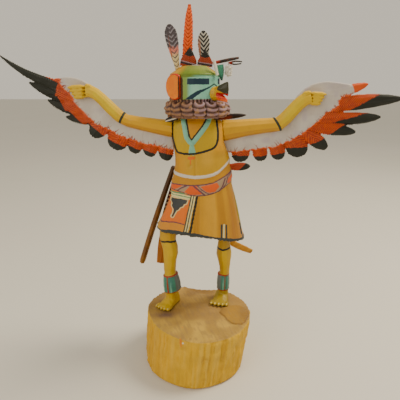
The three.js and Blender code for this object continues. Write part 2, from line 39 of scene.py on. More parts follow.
COARSE = 1.0  # how much coarser a draft's meshes are
REACH = 9.0  # the most that a painted zone's distance says
RICH, DEEP = 1.2, 0.8  # the paint's saturation and depth
BARB_RISE, BARB_FALL = 0.72, 0.28  # the shares of a barb's slow and steep side


# ---- numbers: colour, steps and noise ----
def linear(code):
    """A hex colour as linear light, deepened as the paint is."""
    parts = np.array([int(code[i:i + 2], 16) / 255 for i in (1, 3, 5)])
    light = np.where(parts <= 0.04045, parts / 12.92, ((parts + 0.055) / 1.055) ** 2.4)
    return np.clip(light.mean() + (light - light.mean()) * RICH, 0.004, 1) * DEEP


def smooth(low, high, value):
    """0 at low, 1 at high and an S between them."""
    t = np.clip((value - low) / (high - low), 0, 1)
    return t * t * (3 - 2 * t)


def scatter(lattice, seed):
    """A fixed number from 0 to 1 for each row of whole numbers."""
    mixed = np.full(lattice.shape[0], seed * 7919 + 17, dtype=np.int64)
    for column, prime in zip(lattice.T, (73856093, 19349663, 83492791)):
        mixed ^= column.astype(np.int64) * prime
    mixed = (mixed ^ (mixed >> 13)) * 1274126177 & 0x7FFFFFFF
    return ((mixed ^ (mixed >> 11)) & 0xFFFF) / 65535


def noise(points, seed):
    """Smooth noise from 0 to 1 at each row, or at a tuple of columns, with one bump per unit."""
    points = np.stack(points, 1) if isinstance(points, tuple) else np.asarray(points, float)
    if points.ndim == 1:
        points = points[:, None]
    cell = np.floor(points)
    part = points - cell
    part = part * part * (3 - 2 * part)
    total = np.zeros(len(points))
    for corner in np.ndindex(*(2,) * points.shape[1]):
        share = np.prod(np.where(corner, part, 1 - part), axis=1)
        total += share * scatter(cell + corner, seed)
    return total


def barbs(steps):
    """The saw of a feather's barbs from 0 to 1, one for each whole step."""
    saw = steps - np.floor(steps)
    return np.minimum(saw / BARB_RISE, (1 - saw) / BARB_FALL)


def mound(u, v):
    """A round rise, 1 at its middle and about 1 in radius."""
    return np.exp(-(u ** 2 + v ** 2))


# ---- distances in a plane, positive inside ----
def curve(points, steps=5):
    """The points of a smooth line through the given ones."""
    p = np.array(points, float)
    p = np.vstack([2 * p[0] - p[1], p, 2 * p[-1] - p[-2]])
    out = []
    for i in range(1, len(p) - 2):
        for t in np.linspace(0, 1, steps, endpoint=False):
            out.append(0.5 * (2 * p[i] + (p[i + 1] - p[i - 1]) * t
                              + (2 * p[i - 1] - 5 * p[i] + 4 * p[i + 1] - p[i + 2]) * t ** 2
                              + (3 * p[i] - p[i - 1] - 3 * p[i + 1] + p[i + 2]) * t ** 3))
    return np.array(out + [p[-2]])


def spans(q, points):
    """For each stretch of a line, the share along it and the distance of every point of q."""
    points = np.array(points, float)
    for a, b in zip(points[:-1], points[1:]):
        run = b - a
        t = np.clip((q - a) @ run / max(run @ run, 1e-12), 0, 1)
        yield t, np.linalg.norm(q - a - t[:, None] * run, axis=1)


def to_line(q, points):
    best = np.full(len(q), 1e9)
    for _, gap in spans(q, points):
        best = np.minimum(best, gap)
    return best


def band(q, points, width, end_width=None):
    """Inside of a line drawn through the points, which may narrow to its end."""
    if end_width is None:
        return width / 2 - to_line(q, points)
    best = np.full(len(q), -1e9)
    widths = np.linspace(width, end_width, len(points))
    for (t, gap), start, end in zip(spans(q, points), widths[:-1], widths[1:]):
        best = np.maximum(best, (start + (end - start) * t) / 2 - gap)
    return best


def patch(q, points):
    """Inside of a closed outline."""
    points = np.array(points, float)
    closed = np.vstack([points, points[:1]])
    odd = np.zeros(len(q), bool)
    for (ax, az), (bx, bz) in zip(closed[:-1], closed[1:]):
        if az == bz:
            continue
        crosses = (az > q[:, 1]) != (bz > q[:, 1])
        odd ^= crosses & (q[:, 0] < (bx - ax) * (q[:, 1] - az) / (bz - az) + ax)
    gap = to_line(q, closed)
    return np.where(odd, gap, -gap)


def beyond(q, a, b):
    """How far each point is past the line from a to b, positive on its left."""
    a, b = np.array(a, float), np.array(b, float)
    run = (b - a) / np.linalg.norm(b - a)
    return (q - a) @ np.array([-run[1], run[0]])


def union(*zones):
    return np.maximum.reduce(zones)


def within(*zones):
    return np.minimum.reduce(zones)


def only(test):
    """Inside wherever the test holds."""
    return np.where(test, REACH, -REACH)


# ---- a fine mesh of one carved piece ----
class Carving:
    """`at` holds the mesh's points in mm, `facing` their normals, `tone` their ground colour."""

    def __init__(self, node, voxel):
        self.node = node
        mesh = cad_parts[node].data.copy()
        mesh.materials.clear()
        rough = bpy.data.objects.new(node + "_rough", mesh)
        bpy.context.scene.collection.objects.link(rough)
        weld = rough.modifiers.new("weld", "WELD")
        weld.merge_threshold = 1e-6
        remesh = rough.modifiers.new("remesh", "REMESH")
        remesh.mode = "VOXEL"
        remesh.voxel_size = voxel * COARSE * MM
        bpy.context.view_layer.update()
        depsgraph = bpy.context.evaluated_depsgraph_get()
        self.mesh = bpy.data.meshes.new_from_object(rough.evaluated_get(depsgraph))
        bpy.data.objects.remove(rough)
        bpy.data.meshes.remove(mesh)
        self.mesh.name = node + "_carved"
        count = len(self.mesh.vertices)
        self.at = np.zeros(count * 3, np.float32)
        self.mesh.vertices.foreach_get("co", self.at)
        self.at = self.at.reshape(-1, 3).astype(float) / MM
        self.edges = np.zeros(len(self.mesh.edges) * 2, np.int32)
        self.mesh.edges.foreach_get("vertices", self.edges)
        self.edges = self.edges.reshape(-1, 2)
        self.valence = np.maximum(np.bincount(self.edges.ravel(), minlength=count), 1)
        self.tone = np.ones((count, 3))
        self.zones = {}
        self.measure()

    def measure(self):
        self.mesh.vertices.foreach_set("co", (self.at * MM).astype(np.float32).ravel())
        self.mesh.update()
        normals = np.zeros(len(self.at) * 3, np.float32)
        self.mesh.vertex_normals.foreach_get("vector", normals)
        self.facing = normals.reshape(-1, 3).astype(float)
        self.x, self.y, self.z = self.at.T
        self.xz = self.at[:, [0, 2]]

    def near(self, values):
        """The mean of each value's neighbours."""
        if values.ndim == 2:
            return np.stack([self.near(column) for column in values.T], axis=1)
        a, b = self.edges.T
        total = np.bincount(a, values[b], len(values)) + np.bincount(b, values[a], len(values))
        return total / self.valence

    def soften(self, passes, weight=1.0):
        """Takes the flats off without shrinking the piece."""
        keep = np.broadcast_to(np.asarray(weight, float), (len(self.at),))[:, None]
        for k in range(2 * passes):
            step = 0.5 if k % 2 == 0 else -0.53
            self.at += step * keep * (self.near(self.at) - self.at)
        self.measure()

    def push(self, depth):
        self.at += self.facing * depth[:, None]
        self.measure()

    def hollows(self, passes=3):
        """How deep each point lies in a hollow, in mm, negative on an edge."""
        lift = ((self.near(self.at) - self.at) * self.facing).sum(1)
        for _ in range(passes):
            lift = self.near(lift)
        return lift

    def spread(self, outward, least, amount):
        """Moves the rim outwards in the piece's own plane."""
        outward = outward / np.maximum(np.linalg.norm(outward, axis=1), least)[:, None]
        self.at += outward * amount[:, None]
        self.measure()

    def mottle(self, size, seed, low, high):
        """A soft share that comes and goes in patches of the given size."""
        return smooth(low, high, noise(self.at / size, seed))

    def paint(self, *tints):
        """Lays each (colour, share) on the ground in turn, the share from 0 to 1."""
        for code, share in tints:
            share = np.clip(np.broadcast_to(np.asarray(share, float), (len(self.at),)), 0, 1)[:, None]
            self.tone = self.tone * (1 - share) + linear(code) * share

    def zone(self, name, *distances):
        """Adds to a zone, whose paint covers every point with all distances over 0."""
        before = self.zones.get(name, np.full(len(self.at), -REACH))
        self.zones[name] = np.maximum(before, within(*distances))

    def show(self, material):
        """Hands the piece over to the frame, in place of its node."""
        count = len(self.at)
        piece = bpy.data.objects.new(self.node + "_carved", self.mesh)
        bpy.context.scene.collection.objects.link(piece)
        self.mesh.polygons.foreach_set("use_smooth", np.ones(len(self.mesh.polygons), bool))
        tone = self.mesh.attributes.new("tone", "FLOAT_COLOR", "POINT")
        tone.data.foreach_set("color", np.hstack([self.tone, np.ones((count, 1))]).ravel())
        zones = dict(self.zones, hollow=self.hollows())
        for name, values in zones.items():
            attribute = self.mesh.attributes.new(name, "FLOAT", "POINT")
            attribute.data.foreach_set("value", np.clip(values, -REACH, REACH).astype(np.float32))
        self.mesh.update()
        piece.data.materials.append(material)
        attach(piece, "root")
        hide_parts(self.node)


# ---- paint ----
class Coat:
    """Builds a node material: a ground colour, crisp painted zones over it, painted shade in hollows, wear
    and bump.
    """

    def __init__(self, name):
        self.material = bpy.data.materials.new(name)
        self.material.use_nodes = True
        self.tree = self.material.node_tree
        self.shader = self.tree.nodes["Principled BSDF"]
        self.place = self.node("TexCoord").outputs["Object"]

    def node(self, kind, **values):
        made = self.tree.nodes.new("ShaderNode" + kind)
        for key, value in values.items():
            setattr(made, key, value)
        return made

    def feed(self, socket, value):
        if isinstance(value, bpy.types.NodeSocket):
            self.tree.links.new(value, socket)
        else:
            socket.default_value = value

    def attribute(self, name, output="Fac"):
        return self.node("Attribute", attribute_name=name).outputs[output]

    def math(self, operation, *values):
        made = self.node("Math", operation=operation)
        for socket, value in zip(made.inputs, values):
            self.feed(socket, value)
        return made.outputs[0]

    def ramp(self, value, low, high, out_low=0.0, out_high=1.0):
        made = self.node("MapRange", interpolation_type="SMOOTHSTEP")
        for socket, given in zip(made.inputs, (value, low, high, out_low, out_high)):
            self.feed(socket, given)
        return made.outputs[0]

    def speckle(self, scale, detail=3.0, stretch=(1, 1, 1), rough=0.55):
        mapping = self.node("Mapping")
        self.feed(mapping.inputs["Vector"], self.place)
        mapping.inputs["Scale"].default_value = stretch
        made = self.node("TexNoise")
        self.feed(made.inputs["Vector"], mapping.outputs[0])
        made.inputs["Scale"].default_value = scale
        made.inputs["Detail"].default_value = detail
        made.inputs["Roughness"].default_value = rough
        return made.outputs[0]

    def mix(self, share, under, over, blend="MIX"):
        made = self.node("Mix", data_type="RGBA", blend_type=blend)
        self.feed(made.inputs[0], share)
        self.feed(made.inputs[6], under)
        self.feed(made.inputs[7], over)
        return made.outputs[2]


def rgba(code):
    return (*linear(code), 1.0)


def painted(name, layers, wobble=0.5, edge=0.22, grain=(1, 1, 0.14), vary=0.16, rough=(0.42, 0.68),
            bump=0.25, dark="#2A1A0C", worn="#D8B878", wear=0.35, hollow_shade_depth=0.16, sheen=0.0):
    """layers are (zone, colour) pairs, the later over the earlier."""
    coat = Coat(name)
    waver = coat.math("SUBTRACT", coat.speckle(420, 2), 0.5)
    streak = coat.speckle(900, 3, stretch=grain)
    broad = coat.speckle(70, 2)
    fine = coat.speckle(1500, 4)
    colour = coat.attribute("tone", "Color")
    for zone, code in layers:
        moved = coat.math("MULTIPLY_ADD", waver, wobble * 2, coat.attribute(zone))
        colour = coat.mix(coat.ramp(moved, -edge, edge), colour, rgba(code))
    light = coat.math("MULTIPLY_ADD", streak, vary, 1 - vary / 2)
    light = coat.math("MULTIPLY_ADD", coat.math("SUBTRACT", broad, 0.5), vary * 1.6, light)
    light = coat.math("MULTIPLY_ADD", coat.math("SUBTRACT", fine, 0.5), vary * 0.8, light)
    shade = coat.node("CombineColor")
    for socket in shade.inputs[:3]:
        coat.feed(socket, light)
    colour = coat.mix(1.0, colour, shade.outputs[0], "MULTIPLY")
    hollow = coat.attribute("hollow")
    # Painted shade: the colour darkens towards dark in hollows, more in deeper ones.
    colour = coat.mix(coat.ramp(hollow, 0.01, hollow_shade_depth, 0.0, 0.72), colour, rgba(dark))
    edges = coat.math("MULTIPLY", coat.ramp(hollow, -0.05, -0.22, 0.0, wear), coat.ramp(fine, 0.42, 0.62))
    colour = coat.mix(edges, colour, rgba(worn))
    coat.feed(coat.shader.inputs["Base Color"], colour)
    rubbed = coat.math("MULTIPLY_ADD", coat.math("SUBTRACT", streak, 0.5), 0.3, broad)
    coat.feed(coat.shader.inputs["Roughness"], coat.ramp(rubbed, 0.25, 0.75, *rough))
    height = coat.math("MULTIPLY_ADD", streak, 0.6, coat.math("MULTIPLY", fine, 0.4))
    relief = coat.node("Bump")
    relief.inputs["Strength"].default_value = bump
    relief.inputs["Distance"].default_value = 0.0005
    coat.feed(relief.inputs["Height"], height)
    coat.feed(coat.shader.inputs["Normal"], relief.outputs[0])
    coat.shader.inputs["Specular IOR Level"].default_value = 0.35
    if sheen:
        coat.shader.inputs["Sheen Weight"].default_value = sheen
    return coat.material


# ---- figure ----
HEAD = (-5.7, 13.0, 26.6)  # its axis and radius
RUFF = (-2.6, 12.0, 297.6)  # its middle
RUFF_HALF, RUFF_MEAN, RUFF_TUBE = (25.6, 23.0), 24.3, (11.2, 10.6)  # the ring's radii, and its section's
RUFF_RIM, RUFF_ROUND = 303.5, 31  # where the lobes begin, and the radius that their width is taken at
LOBES, LOBE_START, ARC_PITCH = 15, math.radians(-85.4), 4.6
MASK_MIDDLE = 49.5  # degrees from the front, towards +X

body = Carving("figure", 0.8)
x, y, z = body.at.T
ring = np.hypot((x - RUFF[0]) / RUFF_HALF[0], (y - RUFF[1]) / RUFF_HALF[1])
in_ruff = 10 * (1.06 - np.hypot((ring - 1) * RUFF_MEAN / RUFF_TUBE[0], (z - RUFF[2]) / RUFF_TUBE[1]))
in_ruff = np.where((z > 284) & (z < 311) & (ring > 0.75), in_ruff, -REACH)
on_feet = smooth(80, 70, z)
brim = smooth(329, 330.4, z)
hem_edge = 160.4 - 0.1 * (x - 0.8) - 3 * smooth(8, 36, x)
crisp = np.maximum.reduce([0.75 * smooth(-1, 2, in_ruff), 0.8 * on_feet, 0.7 * brim,
                           0.6 * smooth(6, 2, abs(z - hem_edge)) * smooth(140, 150, z),
                           0.5 * smooth(80, 74, z)])
body.soften(34, 1 - crisp)
x, y, z = body.at.T

# The ruff: overlapping lobes, each with sunk arcs one inside the other.
turn = np.arctan2(y - RUFF[1], x - RUFF[0])
lobe = (turn - LOBE_START) / (2 * math.pi) * LOBES
lobe_across = (lobe - np.round(lobe)) * 2 * math.pi * RUFF_ROUND / LOBES
lean = 0.28 * (z - RUFF[2])
lobe_across = lobe_across + lean * smooth(0.2, -0.6, np.cos(turn))
lobe_down = RUFF_RIM - z
reach = np.hypot(lobe_across * 0.8, np.maximum(lobe_down + 3, 0))
arcs = np.cos(2 * math.pi * reach / ARC_PITCH + 0.8)
seams = smooth(1.5, 0.2, abs(abs(lobe_across) - math.pi * RUFF_ROUND / LOBES))
ruff_share = smooth(-0.6, 0.8, in_ruff)
ruff_depth = (0.75 * arcs - 1.2 * seams + 0.9 * (noise(body.at / 2.2, 3) - 0.5)) * ruff_share

front = y < HEAD[1] + 2
xz = body.xz
torso_free = -in_ruff
across = only(front)

CHEST = curve([(-28.8, 288), (-29.2, 280), (-29.4, 273), (-28.6, 266), (-24.8, 254.6), (-20, 252.8),
               (-14.8, 252.2), (-3.6, 252.9), (6.9, 255.6), (14.2, 258.6), (17.8, 263.6),
               (18.9, 272.8), (17.8, 283.8), (17, 292)])
chest = within(patch(xz, list(CHEST) + [(17, 300), (-28.8, 300)]), torso_free + 0.6, across)
chest_line = within(band(xz, CHEST, 2.3), torso_free + 0.4, across)
NECK_LEFT = curve([(-18.4, 292), (-17.8, 287.9), (-16.4, 281.1), (-14.6, 271.1), (-12.5, 267), (-9, 263)])
NECK_RIGHT = curve([(10.6, 292), (9.4, 287), (6.2, 281.2), (1, 274.2), (-3.6, 268.6), (-8, 263.2)])
strands = union(band(xz, NECK_LEFT, 4.8), band(xz, NECK_RIGHT, 4.8))
strands = within(strands, torso_free + 0.6, across)
inner_lines = union(band(xz, NECK_LEFT + (3.3, 0.4), 1.7), band(xz, NECK_RIGHT - (3.2, -0.9), 1.7))
inner_lines = within(inner_lines, torso_free, across, -strands, z - 264.6)
tassel_strips = [band(xz, [(-9.4 + k * 0.5, 264), (-11.4 + 2.1 * k, 251.4 + 0.9 * (k % 2))], 1.9)
                 for k in range(4)]
tassel = within(union(*tassel_strips), across)

STRIPE = np.array([(-36, 230.6), (-28.1, 229.8), (-23.9, 229.2), (-18.3, 228.2), (-11.8, 227.6),
                   (-5.3, 227.1), (0, 227.4), (7.5, 228.3), (13.9, 229.8), (19.3, 232.2),
                   (23.6, 235.6), (28, 239.7), (33.3, 244.5), (38, 247)])
SASH_TOP = np.array([(-36, 217), (-31.3, 218), (-26.2, 219), (-18.3, 219.1), (-10.7, 218.9),
                     (-3.2, 219.3), (5.4, 220), (13.9, 221.5), (20.4, 224.7), (26.9, 228),
                     (32.8, 231.3), (38, 234.6)])
SASH_LOW = np.array([(-36, 211.8), (-26.2, 211.5), (-18.4, 210.1), (-11.8, 207.9), (-3.2, 206.8),
                     (5.4, 207.5), (14, 209.3), (21.6, 212.2), (29.3, 217.1), (35.6, 220.5),
                     (40, 224)])
HEM = np.array([(-50, 165.4), (-42.5, 165.5), (-35.5, 167), (-28.7, 167), (-19.8, 166.1),
                (-11, 165), (-2.2, 163.4), (6.6, 161.7), (15.4, 160), (24.3, 158.4),
                (33.3, 157.2), (42.7, 155.1), (50, 154.6)])


def height(line):
    return np.interp(x, line[:, 0], line[:, 1])


stripe_at, sash_top, sash_low, hem_at = map(height, (STRIPE, SASH_TOP, SASH_LOW, HEM))
stripe = 1.7 - abs(z - stripe_at)
in_sash = within(sash_top - z, z - sash_low)
above_hem = z - hem_at
hem = within(1.3 - above_hem, above_hem + 6, z - hem_edge + 3.6)
hem = within(hem, only(body.facing[:, 2] >= -0.75))
on_leg = z < hem_edge - 0.9

FOLD = [(35, 223), (36.6, 211), (39, 198), (41.6, 184), (44.6, 171), (46.6, 160)]
fold = within(band(xz, FOLD, 1.2), across)

depth = ruff_depth.copy()
depth += 1.0 * smooth(-0.2, 1.2, strands) + 0.9 * smooth(-0.2, 0.8, tassel) * smooth(-0.2, 0.2, tassel)
depth += 0.7 * smooth(-0.4, 1.2, stripe) * smooth(0, 3, torso_free)
depth += 0.35 * smooth(-0.3, 0.6, within(stripe_at - 1.8 - z, z - sash_top))
depth -= (0.45 * smooth(1.0, 0.2, abs(z - sash_top))
          + 0.45 * smooth(1.0, 0.2, abs(z - sash_low)) * (z > 200))
depth -= 0.35 * smooth(-0.1, 0.8, chest_line)
depth -= 0.8 * np.exp(-((x + 5.2) / 1.1) ** 2) * smooth(226, 230, z) * smooth(256, 248, z) * front
depth -= 1.1 * mound((x + 10) / 1.8, (z - 240) / 2.2) * front
belly = mound((x + 14) / 9, (z - 240) / 7) + mound((x - 6) / 10, (z - 241) / 7)
depth += 0.7 * belly * front
spread = np.arctan2(x - 1.5, -(y - 14)) * 9
folds = 1.5 * (noise(spread * 0.85 + 7, 5) - 0.5) + 0.5 * (noise(spread * 2.3, 8) - 0.5)
depth += folds * smooth(204, 180, z) * smooth(-1, 4, z - hem_edge)
depth -= 0.9 * smooth(-0.6, 0.6, fold)
depth += 0.45 * smooth(-0.2, 0.8, hem)
depth += 0.16 * (noise(body.at / 5.0, 11) - 0.5) * smooth(0, 2, torso_free)

# Each anklet: the middle of its top and of its bottom, and how its ends tilt.
ANKLES = [((-35.6, 15.6, 103), (-33.6, 18.4, 80), 0.2), ((29.2, 27.6, 98), (29, 30.6, 75), 0.0)]
anklet_zones = []
for (tx, ty, tz), (bx, by, bz), tilt in ANKLES:
    t = np.clip((tz - z) / (tz - bz), -0.5, 1.5)
    cx, cy = tx + (bx - tx) * t, ty + (by - ty) * t
    level = z - tilt * (x - cx)
    around = np.degrees(np.arctan2(x - cx, -(y - cy)))
    inside = within(tz + 0.4 - level, level - bz + 0.4, only(np.hypot(x - cx, y - cy) < 15))
    anklet_zones.append((inside, level, around, tz, bz))
    strips = abs(np.sin(np.radians(around) * 9))
    depth -= 0.3 * smooth(0.4, 0.0, strips) * smooth(0, 1, inside)
    for from_end in (tz - level, level - bz):
        depth += 0.35 * smooth(2.6, 1.6, from_end) * smooth(-0.2, 0.4, inside)

# Knees, and toes with their nails.
knee_left = within(1.2 - abs(z - np.interp(x, (-46, -36.4, -28), (149.2, 150.8, 149.2))),
                   only((x < -20) & (z < 156)))
knee_right = within(1.25 - abs(z - np.interp(x, (20.9, 27, 35.5), (136.6, 135.6, 137.4))),
                    only((x > 15) & (z < 145)))
FEET = [  # heel, middle of the toes, half width
    ((-28, 31), (-47.4, -1.6), 10.4), ((30, 42), (22.2, 6.6), 11.8)]
nails = np.full(len(x), -REACH)
for heel, toe, width in FEET:
    heel, toe = np.array(heel, float), np.array(toe, float)
    run = toe - heel
    side = np.array([-run[1], run[0]]) / np.linalg.norm(run)
    for k in range(5):
        place = (k + 0.5) / 5
        reach_out = 1 - (place - 0.5) ** 2
        tip = heel + run * (0.74 + 0.27 * reach_out * 0.74) + side * (2 * place - 1) * width
        off = body.at - np.array([tip[0], tip[1], 65.3])
        nails = np.maximum(nails, 0.95 - np.linalg.norm(off * (1, 0.75, 0.9), axis=1))
depth += 0.3 * smooth(-0.2, 0.5, nails)
body.push(depth)
x, y, z = body.at.T

# Ground colours.
# The last tint is painted shade down the torso's left side.
body.paint(
    ("#CF9A22", 1),
    ("#B98418", body.mottle(9, 22, 0.3, 0.9) * 0.6),
    ("#C9A048", smooth(262, 246, z) * smooth(-24, -8, x) * front),
    ("#DDB25C", 0.5 * smooth(-2, 6, x) * smooth(18, 10, x) * smooth(232, 246, z) * smooth(268, 256, z)
     * front),
    ("#A87A18", 0.6 * smooth(-20, -29, x) * (z > 220) * (z < 262)))
belt = within(stripe_at - 1.2 - z, z - sash_top + 0.2)
body.paint(
    ("#C08C34", smooth(-0.4, 0.4, belt)),
    ("#A8927A", smooth(-0.3, 0.3, in_sash)),
    ("#7C5A62", 0.85 * smooth(-0.3, 0.3, in_sash) * smooth(24, 33, x) * smooth(6, 2, sash_top - z)))
kilt = smooth(0.4, -0.4, z - sash_low) * (z > hem_edge - 2.5) * (1 - on_leg)
# Over the kilt, painted highlight on the crests of its folds and painted shade in their troughs.
body.paint(
    ("#CC9A46", kilt),
    ("#D8A650", kilt * smooth(0.55, 0.95, noise(spread * 0.85 + 7, 5))),
    ("#A87434", kilt * smooth(0.5, 0.1, noise(spread * 0.85 + 7, 5)) * 0.5),
    ("#B07848", kilt * smooth(26, 38, x) * 0.55))
past_fold = np.interp(z, [p[1] for p in FOLD[::-1]], [p[0] for p in FOLD[::-1]])
# The first tint is painted shade on the kilt's side past its fold.
body.paint(
    ("#9A8638", kilt * smooth(-0.4, 0.4, x - past_fold) * smooth(160, 172, z)),
    ("#8E6A38", kilt * (across < 0) * 0.25))
# Painted shade on the kilt's underside.
under = (body.facing[:, 2] < -0.6) & (z > 150) & (z < 172)
body.paint(
    ("#6A4A28", under),
    ("#CFAE22", on_leg),
    ("#C79A2A", on_leg * smooth(149.8, 151, z) * (x < 0) * 0.8),
    # painted shade on the right leg's inner side
    ("#9A7428", on_leg * smooth(0.1, 0.8, -body.facing[:, 0]) * (x > 0) * 0.75),
    ("#A8843A", on_leg * (x > 0) * smooth(134, 138, z) * 0.8),
    # painted shade on the legs' sides
    ("#B89024", on_leg * smooth(0.2, 0.9, abs(body.facing[:, 0])) * 0.45),
    ("#A08838", on_leg * (x > 0) * smooth(76, 72, z) * 0.9),
    # painted shade at the soles, where the feet meet the base
    ("#6E5418", on_leg * (z < 63.2) * 0.6))
for inside, level, around, top, bottom in anklet_zones:
    held = smooth(-0.3, 0.3, inside)
    body.paint(
        ("#4A8070", held),
        ("#4E7E78", held * smooth(0.35, 0.7, noise((around / 9, level / 30), 31))),
        ("#8FC4B0", held * smooth(0.6, 0.8, noise((around / 7, level / 40), 33))))
    right = smooth(25, 40, around) if bottom > 78 else smooth(-15, -35, around) + smooth(45, 55, around)
    body.paint(("#6E7070", held * np.clip(right, 0, 1) * 0.9))

# The head: mask, sides and cap.
on_head = smooth(303, 306, z) * (in_ruff < 0.3)
azimuth = np.degrees(np.arctan2(x - HEAD[0], -(y - HEAD[1])))
mask_side = abs((azimuth - MASK_MIDDLE + 180) % 360 - 180)
body.paint(
    ("#4A3A22", on_head),
    ("#8FC8B4", on_head * smooth(76, 75, mask_side)),
    # painted highlight: paler bands either side of the mask's middle
    ("#A9D6C4", on_head * smooth(26, 44, mask_side) * smooth(62, 50, mask_side) * 0.7),
    ("#7DB8AA", on_head * smooth(22, 8, mask_side) * smooth(320, 330, z) * 0.8),
    ("#86A055", on_head * smooth(58, 68, mask_side) * smooth(77, 75, mask_side)))
cap = smooth(329.4, 330, z)
body.paint(
    ("#6C8032", cap),
    ("#8C9450", cap * smooth(334, 339, z) * 0.7),
    ("#C69A48", cap * smooth(-22, -52, azimuth) * smooth(330.8, 332.6, z)),
    ("#B9A24C", cap * smooth(48, 62, azimuth) * smooth(332, 335, z)),
    ("#74A68C", cap * smooth(332.4, 331.2, z) * smooth(-10, 8, azimuth)),
    ("#8A7A50", cap * smooth(340.2, 341, z) * 0.8))

# The ruff.
held = smooth(-0.3, 0.5, in_ruff)
body.paint(
    ("#7A5A50", held),
    ("#A58C96", held * smooth(-0.2, 0.8, arcs) * smooth(-24, 6, x) * 0.95),
    ("#9A7458", held * smooth(-0.1, 0.8, arcs) * smooth(0, -22, x) * 0.95),
    ("#3A2420", held * smooth(-0.2, -0.9, arcs) * smooth(14, 6, lobe_down) * 0.9),
    ("#4A3028", held * smooth(0.3, 0.9, seams) * 0.7),
    ("#C09468", held * body.mottle(2.6, 41, 0.66, 0.8) * 0.55))

# Painted zones.
hx = azimuth * math.pi / 180 * HEAD[2]
mirrored = (2 * MASK_MIDDLE - azimuth) * math.pi / 180 * HEAD[2]
on_mask = within(-in_ruff, 328.6 - z, z - 300)
EYE, EYE_HALF = (4.4, 326.1), (11.7, 3.4)
CHEVRON = [(22.9, 323.9), (15.1, 320.4), (9.0, 318.4), (3.8, 317.0), (-1.7, 314.0), (-8.6, 309.2),
           (-10.4, 307), (-3.4, 307), (-2.0, 308.5), (2.7, 312.1), (6.8, 314.9), (12.2, 317.5),
           (18.2, 320.2), (23.1, 322.4)]
for along in (hx, mirrored):
    head_plane = np.stack([along, z], 1)
    body.zone("navy", patch(head_plane, CHEVRON), on_mask, 26 - along)
    body.zone("navy", EYE_HALF[1] - abs(z - EYE[1]), EYE_HALF[0] - abs(along - EYE[0]), on_mask)
body.zone("bark", 1.1 - abs(mask_side - 77.5) * 0.464, on_mask)
vee = patch(xz, list(NECK_LEFT) + list(NECK_RIGHT)[::-1])
body.zone("chest", chest, -strands, -vee)
body.zone("black", chest_line)
body.zone("black", inner_lines)
body.zone("black", knee_left)
body.zone("black", knee_right)
body.zone("turquoise", strands)
body.zone("turquoise", tassel)
body.zone("orange", band(xz, [(-11.4, 247.6), (-6.6, 248)], 3.4), across)
body.zone("orange", within(band(xz, [(-10, 246), (-10.2, 241)], 1.3), across) - 0.1)
body.zone("white", stripe, torso_free)
SASH_SHAPES = [
    [(-33, 217), (-26.1, 218.2), (-17.8, 218.3), (-29.2, 211.8), (-33, 212.6)],
    [(-10.7, 218.4), (-4, 218.4), (-1.1, 214.6), (2.6, 209.6), (-3.2, 208.6), (-10.8, 208.8), (-17.3, 211)],
    [(0.4, 217.4), (6.4, 212.2), (10.7, 210.8), (16.6, 212), (21, 217.4), (18.2, 221.4), (10.7, 219.6)],
    [(30, 224.1), (29.9, 218.9), (35.4, 221.4), (36, 229), (33.3, 227)]]
SASH_LINES = [  # points and width
    ([(-26, 210.6), (-20.5, 215.2), (-14, 218.2)], 1.3),
    ([(-7.4, 218.4), (-1.1, 213.4), (5.4, 208.2)], 1.7),
    ([(-3, 218.4), (2.1, 213.9), (9.4, 209.3), (15, 210.6)], 1.1),
    ([(20.5, 211.8), (24.4, 217.3), (27, 225)], 1.4), ([(23.6, 213.2), (28.1, 219.1), (30, 226)], 1.2),
    ([(32, 217), (36.4, 224), (38, 232)], 1.2)]
for flip in (1, -1):
    flank = xz * (flip, 1) + (0 if flip == 1 else 6, 0)
    where = across if flip == 1 else -across
    sash_red = union(*(patch(flank, shape) for shape in SASH_SHAPES))
    sash_lines = union(*(band(flank, points, width) for points, width in SASH_LINES))
    body.zone("sash_red", sash_red, where, in_sash - 0.3)
    body.zone("purple", sash_lines, where, in_sash)
body.zone("purple", 0.55 - abs(z - sash_top + 0.5), torso_free)
body.zone("purple", 0.6 - abs(z - sash_low - 0.4), torso_free)

panel_right = np.interp(z, (166, 176.2, 186.4, 196.3, 206, 209), (-18.9, -16.6, -14.6, -12.3, -10.3, -9.8))
panel = within(panel_right - x, sash_low - 0.4 - z, above_hem - 1.0, across, x + 46)
line_at = np.interp(x, (-44.2, -37.8, -30.8, -24.1, -18.2), (174.4, 176.4, 177.3, 176.8, 175.7))
body.zone("panel", panel, z - line_at)
body.zone("panel_low", panel, line_at - z)
body.zone("purple", panel, 0.65 - abs(z - line_at))
PYRAMID = [(-31.4, 202.2), (-29.3, 202.6), (-20.7, 203.3), (-13.4, 202.3), (-14.9, 198.7), (-17.6, 197.6),
           (-18.5, 195.4), (-21.8, 194), (-23.3, 191.6), (-26, 190), (-27.6, 187), (-29.9, 182.6),
           (-31.4, 183.1), (-29.4, 187.8), (-28.8, 191), (-30.4, 193.2), (-31.2, 194.8), (-30.0, 197),
           (-32.2, 199.4)]
for lift, name in ((6.2, "green"), (4.6, "cream"), (3.3, "green"), (1.9, "cream")):
    at = np.interp(x, (-32, -24, -17, -10), (202.6, 203.4, 202.9, 201.6)) + lift
    body.zone(name, panel, 0.8 - abs(z - at))
outline = patch(xz, PYRAMID)
body.zone("cream", 0.55 - abs(outline + 0.5), panel, -18.6 - x + 6, -outline)
body.zone("slate", outline, panel)
for from_panel, width, name in ((0.7, 1.3, "slate"), (2.1, 1.5, "cream"), (3.4, 1.1, "slate"),
                                (4.7, 1.5, "cream")):
    body.zone(name, width / 2 - abs(x - panel_right - from_panel), sash_low - z, above_hem, across)
teeth = 1.0 + 0.5 * (1 - abs((z / 2.3) % 2 - 1))
strip_at = panel_right + 6.6 + np.interp(z, (166, 206), (1.4, 0.4))
body.zone("black", teeth - abs(x - strip_at), sash_low - z, above_hem, across)
